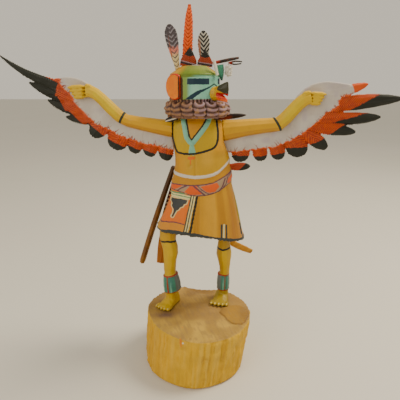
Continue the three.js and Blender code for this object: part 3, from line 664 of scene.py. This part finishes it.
for at, half, lean, top, name in ((23.8, 1.05, 0, 175.2, "slate"), (26.4, 1.0, 0, 175.2, "cream"),
                                  (28.9, 0.9, 0.04, 174.6, "slate")):
    body.zone(name, half - abs(x - at - (175 - z) * lean), top - z, above_hem, across)
body.zone("slate", band(xz, [(45.2, 172), (46.4, 165), (48, 157)], 1.6), across)
body.zone("slate", hem)
for inside, level, around, top, bottom in anklet_zones:
    body.zone("red", inside, union(level - top + 1.3, bottom + 1.2 - level))
    cord = 0.8 - abs(around + 26) * 0.17 if bottom > 78 else 0.5 - abs(around - 12) * 0.15
    body.zone("red", inside, cord)
body.zone("nails", nails)

body.show(painted("body_paint", [
    ("chest", "#BFA01C"), ("panel_low", "#D2924C"), ("panel", "#E47E34"), ("white", "#DAD3C8"),
    ("sash_red", "#DE6A26"), ("orange", "#E07A1C"), ("green", "#4C8C68"), ("cream", "#E4DAA6"),
    ("purple", "#6A4650"), ("turquoise", "#8CC2AC"), ("slate", "#3C4040"), ("bark", "#4A3018"),
    ("navy", "#1B3444"), ("black", "#20221C"), ("red", "#A04422"), ("nails", "#DCCB86")]))

# ---- wings ----
# Seen from the front, in mm. A feather has its root's x and z, its tip's x and z, half width, sag, and
# two points of the line where its black starts. Below the white edge, more points close the outline.
# The arm has x, y, z and radius along it, and the hand its low and high x, and low and high z.
WINGS = {
    "wing_left": {
        "feathers": [
            [-128, 318, -209.6, 353.8, 6.2, -7.6, (-163.6, 329.6), (-165.6, 321.5)],
            [-122, 303, -180, 324.5, 6.2, -2.6, (-152.3, 315.4), (-155.7, 307.7)],
            [-112, 290, -161.9, 306.6, 5.8, -2.4, (-147.6, 303.4), (-143, 294.2)],
            [-98, 284, -144.4, 288.8, 5.5, -1.4, (-134.8, 289.6), (-128.4, 282.7)],
            [-90, 300, -117.4, 268, 11, 0, (-116.6, 278.9), (-104.6, 268.1)],
            [-75, 289, -95.4, 254.4, 12.4, 0, (-101.6, 265.6), (-84.2, 256.8)],
            [-61, 287, -74, 250, 9.4, 0, (-80.1, 258.7), (-66.5, 253.2)],
            [-48, 284, -57.2, 246, 9.2, 0, (-64.4, 254.4), (-49.8, 248.5)],
            [-33, 280, -39.2, 241.8, 9.6, 0, (-47.4, 251.8), (-30.9, 247.4)]],
        "white_edge": [(-150, 334), (-147.6, 328), (-144.8, 321), (-138.6, 314.5), (-134.9, 308.4),
                       (-130.8, 301.5), (-124.9, 294.7), (-116.3, 286.2), (-112.1, 281.4), (-103.6, 278.4),
                       (-95.3, 274.1), (-84.8, 268.2), (-74, 265.2), (-63.3, 261.1), (-52.5, 259.3),
                       (-41.6, 256.2), (-30.7, 253.8), (-20, 251)],
        "arm": [(-18, 12.5, 277, 9.2), (-33, 12.5, 277, 9), (-58, 12, 281.6, 7.7), (-76, 11.5, 285, 6.8),
                (-86, 10.5, 290, 6.8), (-97, 9.5, 301, 6.6), (-106, 9, 310.6, 6.2), (-113.5, 9, 315.5, 6),
                (-119, 9, 316, 5.8)],
        "elbow": [(-79.4, 294.6), (-87.4, 280.4)],
        "hand": (-139.5, -110, 306, 324.6),
        "below": [(-20, 200), (-260, 200), (-260, 400), (-150, 400)],
        "seed": 8},
    "wing_right": {
        "feathers": [
            [118, 313, 177.5, 323.2, 6.3, 3, (240, 340), (240, 300)],
            [126, 299, 218, 308.3, 8.7, -1, (182.2, 307.6), (171.2, 301.6)],
            [118, 287, 194.5, 288.8, 7.5, 1, (166.1, 289.4), (153, 285.6)],
            [108, 280, 169.4, 272.6, 7.1, 0, (150.7, 276.9), (140, 269.4)],
            [98, 284, 139.4, 255.2, 8.8, 0, (133.4, 264.8), (117.8, 257.2)],
            [92, 283, 112.4, 246, 12.4, 0, (119.6, 256.6), (98.8, 255.4)],
            [78, 280, 87.8, 242.4, 9.4, 0, (94.4, 250.4), (77.3, 247.4)],
            [61, 278, 68.2, 240.8, 9, 0, (74.8, 247.4), (58, 245.1)],
            [42, 276, 46, 240, 11, 0, (55.4, 246.6), (34.3, 247.4)]],
        "white_edge": [(14, 251), (24, 251), (35.2, 251.2), (50.5, 253.1), (68, 255.4), (83.1, 257.4),
                       (93.9, 262.2), (104.5, 266.9), (111.6, 272), (117.9, 276.6), (123.1, 280.9),
                       (129.9, 286.7), (134.8, 292.6), (139.9, 295.9), (146.9, 300.5), (149.3, 308.8),
                       (153.6, 311.4), (162, 312.6), (172, 313.6), (186, 315)],
        "arm": [(14, 12.5, 274, 12.2), (26, 12.5, 274.6, 11.2), (48, 12, 277.8, 9.2), (70, 11.5, 280, 8),
                (84, 10.5, 281.6, 7.7), (93, 9.5, 290, 7.2), (101, 9, 299.4, 6.8), (109, 9, 307, 6.4),
                (116, 9, 309.4, 5.8)],
        "elbow": [(77.6, 290.4), (88, 273)],
        "hand": (107, 135, 299, 318),
        "below": [(260, 315), (260, 200), (14, 200)],
        "seed": 7},
}


HAIRS = 90  # short painted hairs on each wing


def arm_and_hand(wing, made):
    """How far each point is inside the bare arm with its hand, and inside the hand alone."""
    route = np.array(made["arm"], float)
    radii = route[:, 3]
    arm = np.full(len(wing.at), -99.0)
    for (t, gap), start, end in zip(spans(wing.at, route[:, :3]), radii[:-1], radii[1:]):
        arm = np.maximum(arm, start + (end - start) * t + 0.35 - gap)
    low_x, high_x, low_z, high_z = made["hand"]
    hand = within(wing.x - low_x, high_x - wing.x, wing.z - low_z, high_z - wing.z, 11.7 - wing.y)
    return union(arm, hand), hand


def feather_map(wing, feathers):
    """Which feather each point lies on, how well it and the next one fit, and where on it."""
    x, z = wing.x, wing.z
    rank = np.full((len(feathers), len(x)), 99.0)
    along, aside, black = (np.zeros_like(rank) for _ in range(3))
    for k, (root_x, root_z, tip_x, tip_z, half, sag, a, b) in enumerate(feathers):
        run = np.array([tip_x - root_x, tip_z - root_z], float)
        length = np.linalg.norm(run)
        run /= length
        t = ((x - root_x) * run[0] + (z - root_z) * run[1]) / length
        aside[k] = (x - root_x) * run[1] - (z - root_z) * run[0] + 4 * sag * t * (1 - t)
        rank[k] = np.where((t > -0.1) & (t < 1.12), abs(aside[k]) / half, 50) + (t > 1.0) * 0.2
        along[k] = t * length
        black[k] = beyond(wing.xz, a, b) * np.sign(beyond(np.array([[tip_x, tip_z]]), a, b)[0])
    mine, rival = np.argsort(rank, axis=0)[:2]
    column = np.arange(len(x))
    halves = np.array([feather[4] for feather in feathers])[mine]
    return (mine, rank[mine, column], rank[rival, column], along[mine, column], aside[mine, column],
            black[mine, column], halves)


def stroke_hairs(wing, plane, made, skin):
    """Short painted hairs across the white edge."""
    random = np.random.default_rng(made["seed"])
    path = curve(made["white_edge"], 8)
    for _ in range(HAIRS):
        k = random.integers(4, len(path) - 4)
        start = path[k] + random.normal(0, 0.6, 2)
        run = path[min(k + 2, len(path) - 1)] - path[k - 2]
        inwards = np.array([-run[1], run[0]]) / max(np.linalg.norm(run), 1e-6)
        if inwards[1] < 0:
            inwards = -inwards
        inwards = inwards + np.array([random.normal(0.0, 0.55), random.normal(0, 0.2)])
        length = random.uniform(1.2, 5.2) * (0.55 if abs(start[0]) > 112 else 1)
        close = np.linalg.norm(plane - start, axis=1) < 9
        mark = np.full(len(plane), -REACH)
        mark[close] = band(plane[close], [start - inwards * 2.5, start + inwards * length], 1.1, 0.3)
        wing.zone("strokes", mark, -skin - 0.3, only(wing.y < 15))


def carve_wing(node, made, voxel=0.55):
    wing = Carving(node, voxel)
    skin, hand = arm_and_hand(wing, made)
    wing.soften(30, smooth(0.4, -0.6, hand) * 0.9 + 0.1)
    plane = wing.xz
    mine, rank, rival, t_mm, s_mm, black, halves = feather_map(wing, made["feathers"])
    edge = list(curve(made["white_edge"]))
    quilled = to_line(plane, edge)
    quilled = np.where(patch(plane, edge + made["below"]) > 0, quilled, -quilled)

    flat = smooth(-0.2, 1.0, -skin)
    notch = barbs((t_mm - abs(s_mm) * 0.95 + 1.4 * noise(wing.at / 6, 51)) / 2.3)
    carved = smooth(-1.5, 2.5, quilled) * flat
    depth = (0.62 * notch - 0.4) * carved
    depth -= 0.9 * smooth(0.16, 0.02, rival - rank) * carved * (rival < 1.2)
    depth += 0.5 * np.exp(-(s_mm / 0.8) ** 2) * carved
    depth += 0.1 * (noise(wing.at / 4, 52) - 0.5) * flat
    depth += 0.12 * (noise((wing.x / 14, wing.z / 2.2), 53) - 0.5) * flat
    elbow = within(band(plane, made["elbow"], 2.5), skin)
    depth += 0.3 * smooth(-0.3, 0.5, elbow)
    wing.push(depth)
    rim = smooth(0.72, 1.0, abs(s_mm) / halves) * carved * (rank < 1.4)
    wing.spread(wing.facing * (1, 0, 1), 0.3, rim * (1.1 * notch - 0.7))

    bare = smooth(-0.25, 0.35, skin)
    wing.paint(
        ("#CBC3BC", 1),
        ("#D8D2CC", 0.6 * wing.mottle(11, 54, 0.4, 0.8)),
        ("#BFB4BE", 0.5 * wing.mottle(8, 55, 0.5, 0.8)),
        ("#C9A890", 0.55 * smooth(-4.5, 0, quilled) * wing.mottle(3, 56, 0.35, 0.75)),
        ("#D3A428", bare),
        ("#D8BC24", bare * smooth(78, 92, abs(wing.x))),
        # painted highlight on the arm's upper side
        ("#E0B040", bare * smooth(0.2, 0.9, wing.facing[:, 2]) * 0.6),
        # painted shade on the arm's underside
        ("#B88418", bare * smooth(-0.1, -0.9, wing.facing[:, 2]) * 0.8),
        ("#DDB84A", bare * smooth(0, 1.5, hand) * 0.7),
        # painted shade in the hand's hollows
        ("#9C6A20", bare * smooth(0, 0.6, hand) * smooth(0.0, 0.12, wing.hollows(1))))
    jag = 0.8 * (notch - 0.5)
    tinted = quilled + 1.3 * (notch - 0.4) + 2.2 * (noise((t_mm / 7, s_mm / 1.2), 57) - 0.5)
    blades = within(tinted, -skin - 0.2)
    orange = blades
    if node == "wing_right":  # its first feather is tinted at the tip alone
        tip_line = beyond(plane, (162.9, 315.4), (159.8, 322.6))
        orange = np.where((mine == 0) & (wing.x > 140), within(jag - tip_line, -skin), blades)
    wing.zone("orange", orange)
    wing.zone("red", blades - 0.8, 0.6 - notch * 1.15 + 0.35 * (noise(wing.at / 3, 58) - 0.5))
    wing.zone("light", blades - 0.8, notch - 0.88 + 0.25 * (noise(wing.at / 3, 59) - 0.5))
    blacks = black + jag * 1.2 + 1.2 * (noise(wing.at / 2.5, 60) - 0.5)
    wing.zone("black", blacks, -skin - 0.2, quilled + 1)
    wing.zone("band", elbow)
    stroke_hairs(wing, plane, made, skin)
    if node == "wing_right":
        armpit = band(plane, [(24.6, 262), (27, 256), (32, 247)], 1.3)
        wing.zone("black", armpit, only(wing.y < 15), -skin)
    wing.show(painted(node + "_paint", [
        ("strokes", "#8E3C22"), ("orange", "#D8641C"), ("light", "#E88444"), ("red", "#8E3210"),
        ("black", "#23261F"), ("band", "#2A3028")], wobble=0.35, dark="#4A1C0C", wear=0.2,
        hollow_shade_depth=0.22))


for node, made in WINGS.items():
    carve_wing(node, made)

# ---- base: the log ----
LOG_HEIGHT, LOG_RADIUS = 61, 59
LOG_FOOT, LOG_LEAN = (-6.8, -1), (5.4, 2.4)  # the underside's middle, and how far the top's is off it

log = Carving("base", 0.9)
x, y, z = log.at.T
log.soften(14, smooth(61, 58.5, z) * smooth(0.6, 2.5, z) * 0.9)
x, y, z = log.at.T
middle_x, middle_y = (foot + lean * z / LOG_HEIGHT for foot, lean in zip(LOG_FOOT, LOG_LEAN))
angle = np.arctan2(y - middle_y, x - middle_x)
radius = np.hypot(x - middle_x, y - middle_y)
side = smooth(0.45, 0.15, abs(log.facing[:, 2]))
arc = angle * LOG_RADIUS
split = noise((arc / 2.3 + 0.5 * noise(z / 9, 61), z / 46), 62)
chips = noise((arc / 4.6, z / 13), 63)
fibres = noise((arc / 0.95, z / 30), 64)
level = noise((arc / 7, z / 7), 65)
depth = side * (0.9 * (split - 0.5) + 1.3 * (abs(chips - 0.5) * 2 - 0.5) + 0.8 * (fibres - 0.5))
depth += side * 1.4 * (level - 0.5)
top = smooth(0.5, 0.8, log.facing[:, 2])
saw_marks = noise((x / 1.6 + y / 5, y / 9 - x / 30), 66)
depth += top * (0.3 * (saw_marks - 0.5) + 0.5 * (noise(log.at / 9, 67) - 0.5))
FLAKE = [(23.9, -3.1), (30, -16.3), (35.6, -25.8), (40.9, -28.2), (47.6, -28.8), (52.9, -22), (57.2, -8.5),
         (55, 6), (44, 12), (30, 8)]
flake = patch(log.at[:, :2], curve(FLAKE + FLAKE[:1])[:-1]) + 1.6 * (noise(log.at / 4, 71) - 0.5)
depth += top * 1.2 * smooth(-0.4, 0.5, flake)
rim = smooth(55, 60, z) * smooth(53, 58, radius)
depth += rim * 1.1 * (noise(arc / 2.1, 68) - 0.62)
foot_rim = smooth(3, 0.8, z) * side
depth += foot_rim * 1.0 * (noise(arc / 3.1, 69) - 0.6)
depth *= smooth(0.0, 0.4, z)
log.push(depth)
x, y, z = log.at.T
log.paint(
    ("#D6AC4C", 1),
    ("#E2C068", side * smooth(0.5, 0.85, split) * 0.5),
    ("#B88A34", side * smooth(0.4, 0.1, split) * 0.4),
    ("#9C6E28", side * smooth(0.28, 0.1, chips) * smooth(0.5, 0.7, level) * 0.5),
    ("#D9B256", side * smooth(0.4, 0.9, level) * 0.4),
    ("#D4A028", side * smooth(-0.2, -0.9, np.cos(angle)) * 0.45),
    ("#B8965C", top),
    ("#CBAA60", top * smooth(0, -45, y) * 0.9),
    ("#A8803E", top * smooth(-0.4, 0.6, flake) * 0.8),
    # painted shadow along the flake's front edge
    ("#6E4C1E", top * smooth(1.0, 0.2, abs(flake)) * smooth(2, -6, y) * 0.85),
    ("#8E6E48", top * log.mottle(13, 70, 0.35, 0.75) * 0.5),
    ("#9C8058", top * smooth(0.55, 0.8, saw_marks) * 0.5),
    # painted shade on the top behind the figure's feet
    ("#7E5C2A", top * smooth(30, 56, y) * smooth(28, 4, abs(x)) * 0.6),
    # painted shadow cast by the left foot
    ("#6E5658", top * mound((x + 41) / 12, (y + 9) / 6) * 0.75))
drip = band(log.xz, [(-20.4, 62), (-20.9, 57), (-20.2, 53.6)], 3.2, 1.6)
log.zone("mark", drip, only(y < -30), 60.6 - z)
log.zone("speck", 1.1 - np.linalg.norm(log.xz - (-18.2, 57.4), axis=1), only(y < -30))
log.show(painted("bare_log", [("mark", "#D88A1E"), ("speck", "#E8E0C8")], wobble=0.9,
                             grain=(1, 1, 0.05), vary=0.26, rough=(0.62, 0.85), bump=0.5,
                             dark="#5A3A14", worn="#E8CC88", wear=0.5, hollow_shade_depth=0.42))


# ---- ears and beak ----
def carve_ear(node, azimuth, level, radius):
    ear = Carving(node, 0.4)
    turn = math.radians(azimuth)
    out = np.array([math.sin(turn), -math.cos(turn), 0])
    centre = np.array([HEAD[0], HEAD[1], level]) + out * (HEAD[2] + 0.5)
    ear.soften(16, 0.8)
    off = ear.at - centre
    lateral = off - (off @ out)[:, None] * out
    reach = np.linalg.norm(lateral, axis=1)
    depth = 0.35 * smooth(radius - 2.6, radius - 1.6, reach) + 0.15 * (noise(ear.at / 3, 81) - 0.5)
    ear.push(depth)
    ear.paint(
        ("#EE8C26", 1),
        ("#E27E20", 0.7 * ear.mottle(5, 82, 0.3, 0.7)),
        ("#EE9440", 0.5 * ear.mottle(4, 83, 0.5, 0.8)))
    edge_on = smooth(0.85, 0.6, abs(ear.facing @ out))
    ear.zone("rim", union(reach - radius + 1.0, np.where(edge_on > 0.5, 0.6, -REACH)))
    back = np.array([out[1], -out[0], 0]) * (1 if azimuth < 0 else -1)
    ear.zone("dark", -0.4 - (0.55 * radius - 1.0 + lateral @ back), off @ out - 0.2)
    ear.show(painted(node + "_paint", [("rim", "#C4481A"), ("dark", "#5A2E14")],
                                  grain=(0.5, 0.5, 1), vary=0.14))


carve_ear("ear_left", -46, 320.4, 12.6)
carve_ear("ear_right", 140, 321.4, 11.2)

beak = Carving("beak", 0.4)
turn = math.radians(50)
out = np.array([math.sin(turn), -math.cos(turn), 0])
beak.soften(24, 0.85)
reach = (beak.at - (HEAD[0], HEAD[1], 0)) @ out - HEAD[2]
height_on = beak.at[:, 2] - 313.6
beak.push(0.15 * (noise(beak.at / 2, 91) - 0.5))
beak.paint(
    ("#CCA422", 1),
    ("#B8901A", 0.6 * beak.mottle(3, 92, 0.4, 0.7)),
    ("#D88A20", smooth(4, 7, reach) * smooth(3, -2, height_on)))
beak.zone("upper", reach - 6.2 - 0.25 * abs(height_on - 5), height_on + 0.2 + (reach - 15) * 0.5)
beak.zone("red", reach - 5.0, 1.8 - abs(height_on + 0.3 + (reach - 6) * 0.12))
beak.zone("lower", reach - 5.4, -1.9 - height_on)
beak.zone("lip", reach - 7.4, 0.7 - abs(height_on + 3.4 + 0.2 * (reach - 8)))
beak.show(painted("beak_paint", [
    ("lower", "#E07024"), ("upper", "#34321F"), ("red", "#B42C12"), ("lip", "#D84420")],
    wobble=0.3, rough=(0.3, 0.5)))


# ---- separate feathers ----
def carve_feather(node, slot, root, tip, half, paints, layers=(), face=(0, -1, 0), voxel=0.35,
                  barb=(1.9, 0.4, 0.5), wobble=0.3, slant=0.9, **coat):
    """paints takes the carving, the share of the length, the offset and the barbs, and colours it."""
    quill = Carving(node, voxel)
    pitch, barb_depth, notch_out = barb
    root, tip, face = (np.array(v, float) for v in (root, tip, face))
    run = tip - root
    length = np.linalg.norm(run)
    run /= length
    across = np.cross(run, face)
    across /= np.linalg.norm(across)
    quill.soften(14, 0.8)
    off = quill.at - root
    along, aside = off @ run, off @ across
    notch = barbs((along - abs(aside) * slant + 0.8 * noise(quill.at / 4, 101)) / pitch)
    flat = smooth(0.3, 0.7, abs(quill.facing @ face))
    depth = flat * (barb_depth * (notch - 0.6) + 0.35 * np.exp(-(aside / 0.6) ** 2))
    quill.push(depth)
    rim = smooth(0.6, 0.95, abs(aside) / half)
    outward = quill.facing - (quill.facing @ face)[:, None] * face
    quill.spread(outward, 0.4, rim * notch_out * (notch - 0.75))
    paints(quill, along / length, aside, notch)
    quill.show(painted(node + "_paint", layers, wobble=wobble, **coat))


def paint_tall(q, t, s, notch):
    q.paint(
        ("#F2701E", 1),
        ("#F47A34", 0.6 * smooth(0.4, 0.9, notch)),
        ("#B8380E", 0.6 * smooth(0.35, 0.0, notch)))
    q.zone("spine", 0.3 - notch, s * 0.4 + 1.4)


carve_feather("crest_tall", "orange_feather", (-14, 20, 338), (-10.6, 20, 400.6), 5.3, paint_tall,
              [("spine", "#B04A14")], barb=(3.8, 0.7, 0.7), slant=1.1, worn="#F09050")


def paint_dark_left(q, t, s, notch):
    q.paint(
        ("#4A4448", 1),
        ("#9A949C", 0.9 * smooth(0.6, 0.75, notch) * q.mottle(2.5, 111, 0.2, 0.35)),
        ("#3A3236", smooth(0.88, 0.98, t) * 0.8))
    fade = t + 0.05 * (noise(q.at / 2, 112) - 0.5)
    q.paint(
        ("#DC8C7E", smooth(0.56, 0.46, fade)),
        ("#E2D2A2", smooth(0.44, 0.3, fade)))
    q.zone("spine", within(0.5 - abs(s + 3.9 - 1.2 * t), 0.66 - t) - 0.05)
    q.zone("streak", 0.28 - notch, 0.9 - t, -abs(s) + 3.8)


carve_feather("crest_dark_left", "dark_feather", (-23, 16, 336), (-31.6, 16, 381.4), 6.6, paint_dark_left,
              [("streak", "#5E5458"), ("spine", "#A0583A")], barb=(4.4, 0.45, 0.5))


def paint_dark_right(q, t, s, notch):
    q.paint(
        ("#3C3A38", 1),
        ("#C4C0B4", smooth(0.5, 0.6, notch) * smooth(1.0, 0.94, t)),
        ("#0E0D0C", smooth(0.5, 0.4, notch)),
        ("#A87860", smooth(2.8, 3.8, -s) * smooth(0.9, 0.6, t)),
        ("#5A4038", smooth(0.3, 0.1, t) * 0.6))


carve_feather("crest_dark_right", "dark_feather", (4.6, 17, 338), (3.4, 17, 375.4), 6.2, paint_dark_right,
              barb=(4.4, 0.6, 0.5), slant=1.2)


def paint_short(q, t, s, notch):
    q.paint(
        ("#9C4220", 1),
        ("#B85A30", 0.5 * smooth(0.5, 0.9, notch)),
        ("#6A2A14", 0.5 * smooth(0.4, 0.1, notch)))
    q.zone("black", (t - 0.52) * 19 - 0.3 * abs(s))
    q.zone("cord", 0.9 - abs(t * 19 - 2.6 + 0.12 * s), 9 - abs(s))
    q.zone("cord_light", 0.5 - abs(t * 19 - 4.1 + 0.12 * s), 9 - abs(s))


for node, root, tip in (("crest_short_left", (-12.2, 7.5, 340), (-9.9, 7.5, 359)),
                        ("crest_short_right", (4.8, 8.5, 340), (5.7, 8.5, 356.4))):
    carve_feather(node, "red_feather", root, tip, 8.2, paint_short,
                  [("cord_light", "#A08C94"), ("cord", "#2E2C30"), ("black", "#1E1A14")], voxel=0.3,
                  barb=(2.2, 0.5, 0.5))


def paint_white(q, t, s, notch):
    q.paint(
        ("#E6E0D4", 1),
        ("#C8BCA8", 0.7 * smooth(0.4, 0.0, notch)))


carve_feather("quill_white", "white_down", (17.4, -4, 331.4), (13.9, -2, 346), 1.6, paint_white,
              voxel=0.2, barb=(1.4, 0.2, 0.3), wear=0.0)


def paint_green(q, t, s, notch):
    q.paint(
        ("#4E9880", 1),
        ("#2E5E5A", 0.9 * smooth(1.0, 3.0, -s) * smooth(0.1, 0.4, t)),
        ("#7CB89C", 0.6 * smooth(0.5, 0.9, notch)),
        ("#2C4E50", 0.6 * smooth(0.55, 0.85, t)))


carve_feather("green_tuft", "green_feather", (20.2, 9, 342), (22.6, 9, 326.6), 3.9, paint_green,
              voxel=0.25, barb=(1.3, 0.4, 0.5), rough=(0.7, 0.9), wear=0.0, sheen=0.3)

down = Carving("down_tuft", 0.28)
down.soften(8, 0.8)
tufts = noise(down.at / 1.5, 121) + 0.6 * noise(down.at / 0.75, 122)
down.push(1.7 * (tufts - 0.85))
down.paint(
    ("#E9E5DC", 1),
    ("#C4BCAA", 0.6 * smooth(0.7, 0.3, tufts)))
down.show(painted("down_paint", [], vary=0.1, rough=(0.85, 0.98), dark="#9A9484", wear=0.0,
                                grain=(1, 1, 1), bump=0.6, sheen=0.5))


def paint_side(q, t, s, notch):
    q.paint(
        ("#2A2422", 1),
        ("#5A3020", 0.7 * q.mottle(2, 131, 0.45, 0.7)),
        ("#A03A1E", smooth(0.34, 0.2, t)))


carve_feather("feather_side", "dark_feather", (13, 10.5, 343.6), (39.4, 10, 348.8), 2.4, paint_side,
              voxel=0.25, barb=(1.6, 0.5, 0.5))
carve_feather("twig_fork", "dark_feather", (29.5, 15, 344), (43.6, 15, 345), 1.4, paint_side, voxel=0.2,
              barb=(1.2, 0.25, 0.2))


def paint_nape(q, t, s, notch):
    q.paint(
        ("#231C1C", 1),
        ("#8A3A26", smooth(0.62, 0.5, t) * smooth(-2.0, 1.0, s + 0.6)),
        ("#54403A", 0.5 * smooth(0.6, 0.95, notch)))


carve_feather("nape_feather_right", "dark_feather", (14, 24, 287), (50.6, 22, 290.4), 3.3, paint_nape,
              voxel=0.25, barb=(1.5, 0.35, 0.5))


def paint_nape_left(q, t, s, notch):
    q.paint(("#262020", 1))
    q.zone("white", 0.6 - abs(s + 0.4))


carve_feather("nape_feather_left", "dark_feather", (-24, -4, 290), (-36.4, -1, 286.2), 2.8,
              paint_nape_left, [("white", "#E0D8CC")], voxel=0.22, barb=(1.3, 0.3, 0.4))


def paint_waist(q, t, s, notch):
    q.paint(
        ("#C05A40", 1),
        ("#8A3424", 0.7 * smooth(0.5, 0.1, notch)))
    q.zone("black", (t - 0.66) * 26 + 1.1 * s + 0.8 * (notch - 0.5))


carve_feather("waist_feather", "red_feather", (31, 22, 232.4), (57, 22, 233.4), 4.8, paint_waist,
              [("black", "#1F221C")], voxel=0.3, barb=(1.7, 0.4, 0.5))


def paint_tail_long(q, t, s, notch):
    q.paint(
        ("#6A4418", 1),
        ("#8A5C22", 0.7 * q.mottle((3, 3, 14), 141, 0.35, 0.7)),
        ("#3E2812", smooth(0.55, 0.2, t) * 0.85),
        ("#2A1C10", 0.8 * smooth(0.75, 0.95, -q.facing[:, 0]) * smooth(0.5, 0.1, t)),
        ("#9A6A2A", smooth(0.86, 0.99, t) * 0.6))


carve_feather("tail_long", "tail_feather", (-30.5, 30, 231), (-72.6, 41, 108), 8.5, paint_tail_long,
              face=(-0.94, 0, -0.33), voxel=0.5, barb=(2.4, 0.3, 0.3))


def paint_tail_inner(q, t, s, notch):
    q.paint(("#5E2424", 1))
    q.zone("dash", 0.9 - abs(((t * 66) % 5.2) - 2.6),
           0.8 * smooth(0.0, 0.6, -q.facing[:, 1]) - 0.4, 0.9 - t)


carve_feather("tail_inner", "red_feather", (-27, 34, 224), (-46, 37, 162), 5.6, paint_tail_inner,
              [("dash", "#D8C098")], face=(-0.95, 0, -0.3), voxel=0.35, barb=(2.2, 0.3, 0.2))


def paint_tail_left(q, t, s, notch):
    q.paint(
        ("#A8681C", 1),
        ("#C8842E", 0.6 * q.mottle((3, 3, 12), 151, 0.4, 0.8)),
        ("#8A4E18", 0.7 * smooth(0.4, 0.1, notch)))


carve_feather("tail_left", "tail_feather", (-36, 38, 176), (-49.8, 36.6, 107), 4.9, paint_tail_left,
              voxel=0.4, barb=(2.4, 0.3, 0.3))


def paint_tail_right(q, t, s, notch):
    q.paint(
        ("#C48C34", 1),
        ("#D8A650", 0.6 * q.mottle(4, 161, 0.4, 0.8)),
        ("#B06A20", 0.6 * smooth(0.5, 0.2, t)),
        ("#A8742A", smooth(0.93, 0.99, t) * 0.7))


carve_feather("tail_right", "tail_feather", (16, 38, 168), (67.4, 60, 112), 4.3, paint_tail_right,
              face=(0.6, -0.75, 0.25), voxel=0.4, barb=(2.6, 0.22, 0.2))

# ---- floor, light and camera ----
bpy.ops.mesh.primitive_plane_add(size=14, location=(0, 0, 0))
floor = bpy.context.object
floor.name = "floor"
coat = Coat("floor_paint")
tint = coat.mix(coat.speckle(3, 2), rgba("#E4E0D6"), rgba("#EAE6DE"))
coat.feed(coat.shader.inputs["Base Color"], tint)
coat.shader.inputs["Roughness"].default_value = 0.7
floor.data.materials.append(coat.material)

world = bpy.data.worlds.new("studio")
bpy.context.scene.world = world
world.use_nodes = True
world.node_tree.nodes["Background"].inputs["Color"].default_value = rgba("#F4ECDC")
world.node_tree.nodes["Background"].inputs["Strength"].default_value = 0.95


def lamp(name, spot, aim, size, power, tint):
    data = bpy.data.lights.new(name, "AREA")
    data.shape = "DISK"
    data.size = size
    data.energy = power
    data.color = tuple(linear(tint))
    made = bpy.data.objects.new(name, data)
    bpy.context.scene.collection.objects.link(made)
    made.location = spot
    made.rotation_euler = (Vector(aim) - Vector(spot)).to_track_quat("-Z", "Y").to_euler()


lamp("key", (0.75, 0.15, 1.25), (0, 0, 0.22), 0.55, 24, "#FFF2DC")
lamp("fill", (-0.9, -1.0, 0.8), (0, 0, 0.22), 1.1, 10, "#FFF8EC")

CAMERA_SPOT, CAMERA_TILT, SENSOR, LENS = (0, -0.429, 0.327), 73.5, 36, 36.45

camera_data = bpy.data.cameras.new("camera")
camera_data.sensor_width = SENSOR
camera_data.lens = LENS
camera_data.clip_start = 0.01
camera = bpy.data.objects.new("camera", camera_data)
camera.location = CAMERA_SPOT
camera.rotation_euler = (math.radians(CAMERA_TILT), 0, 0)
bpy.context.scene.collection.objects.link(camera)
bpy.context.scene.camera = camera

bpy.context.view_layer.update()
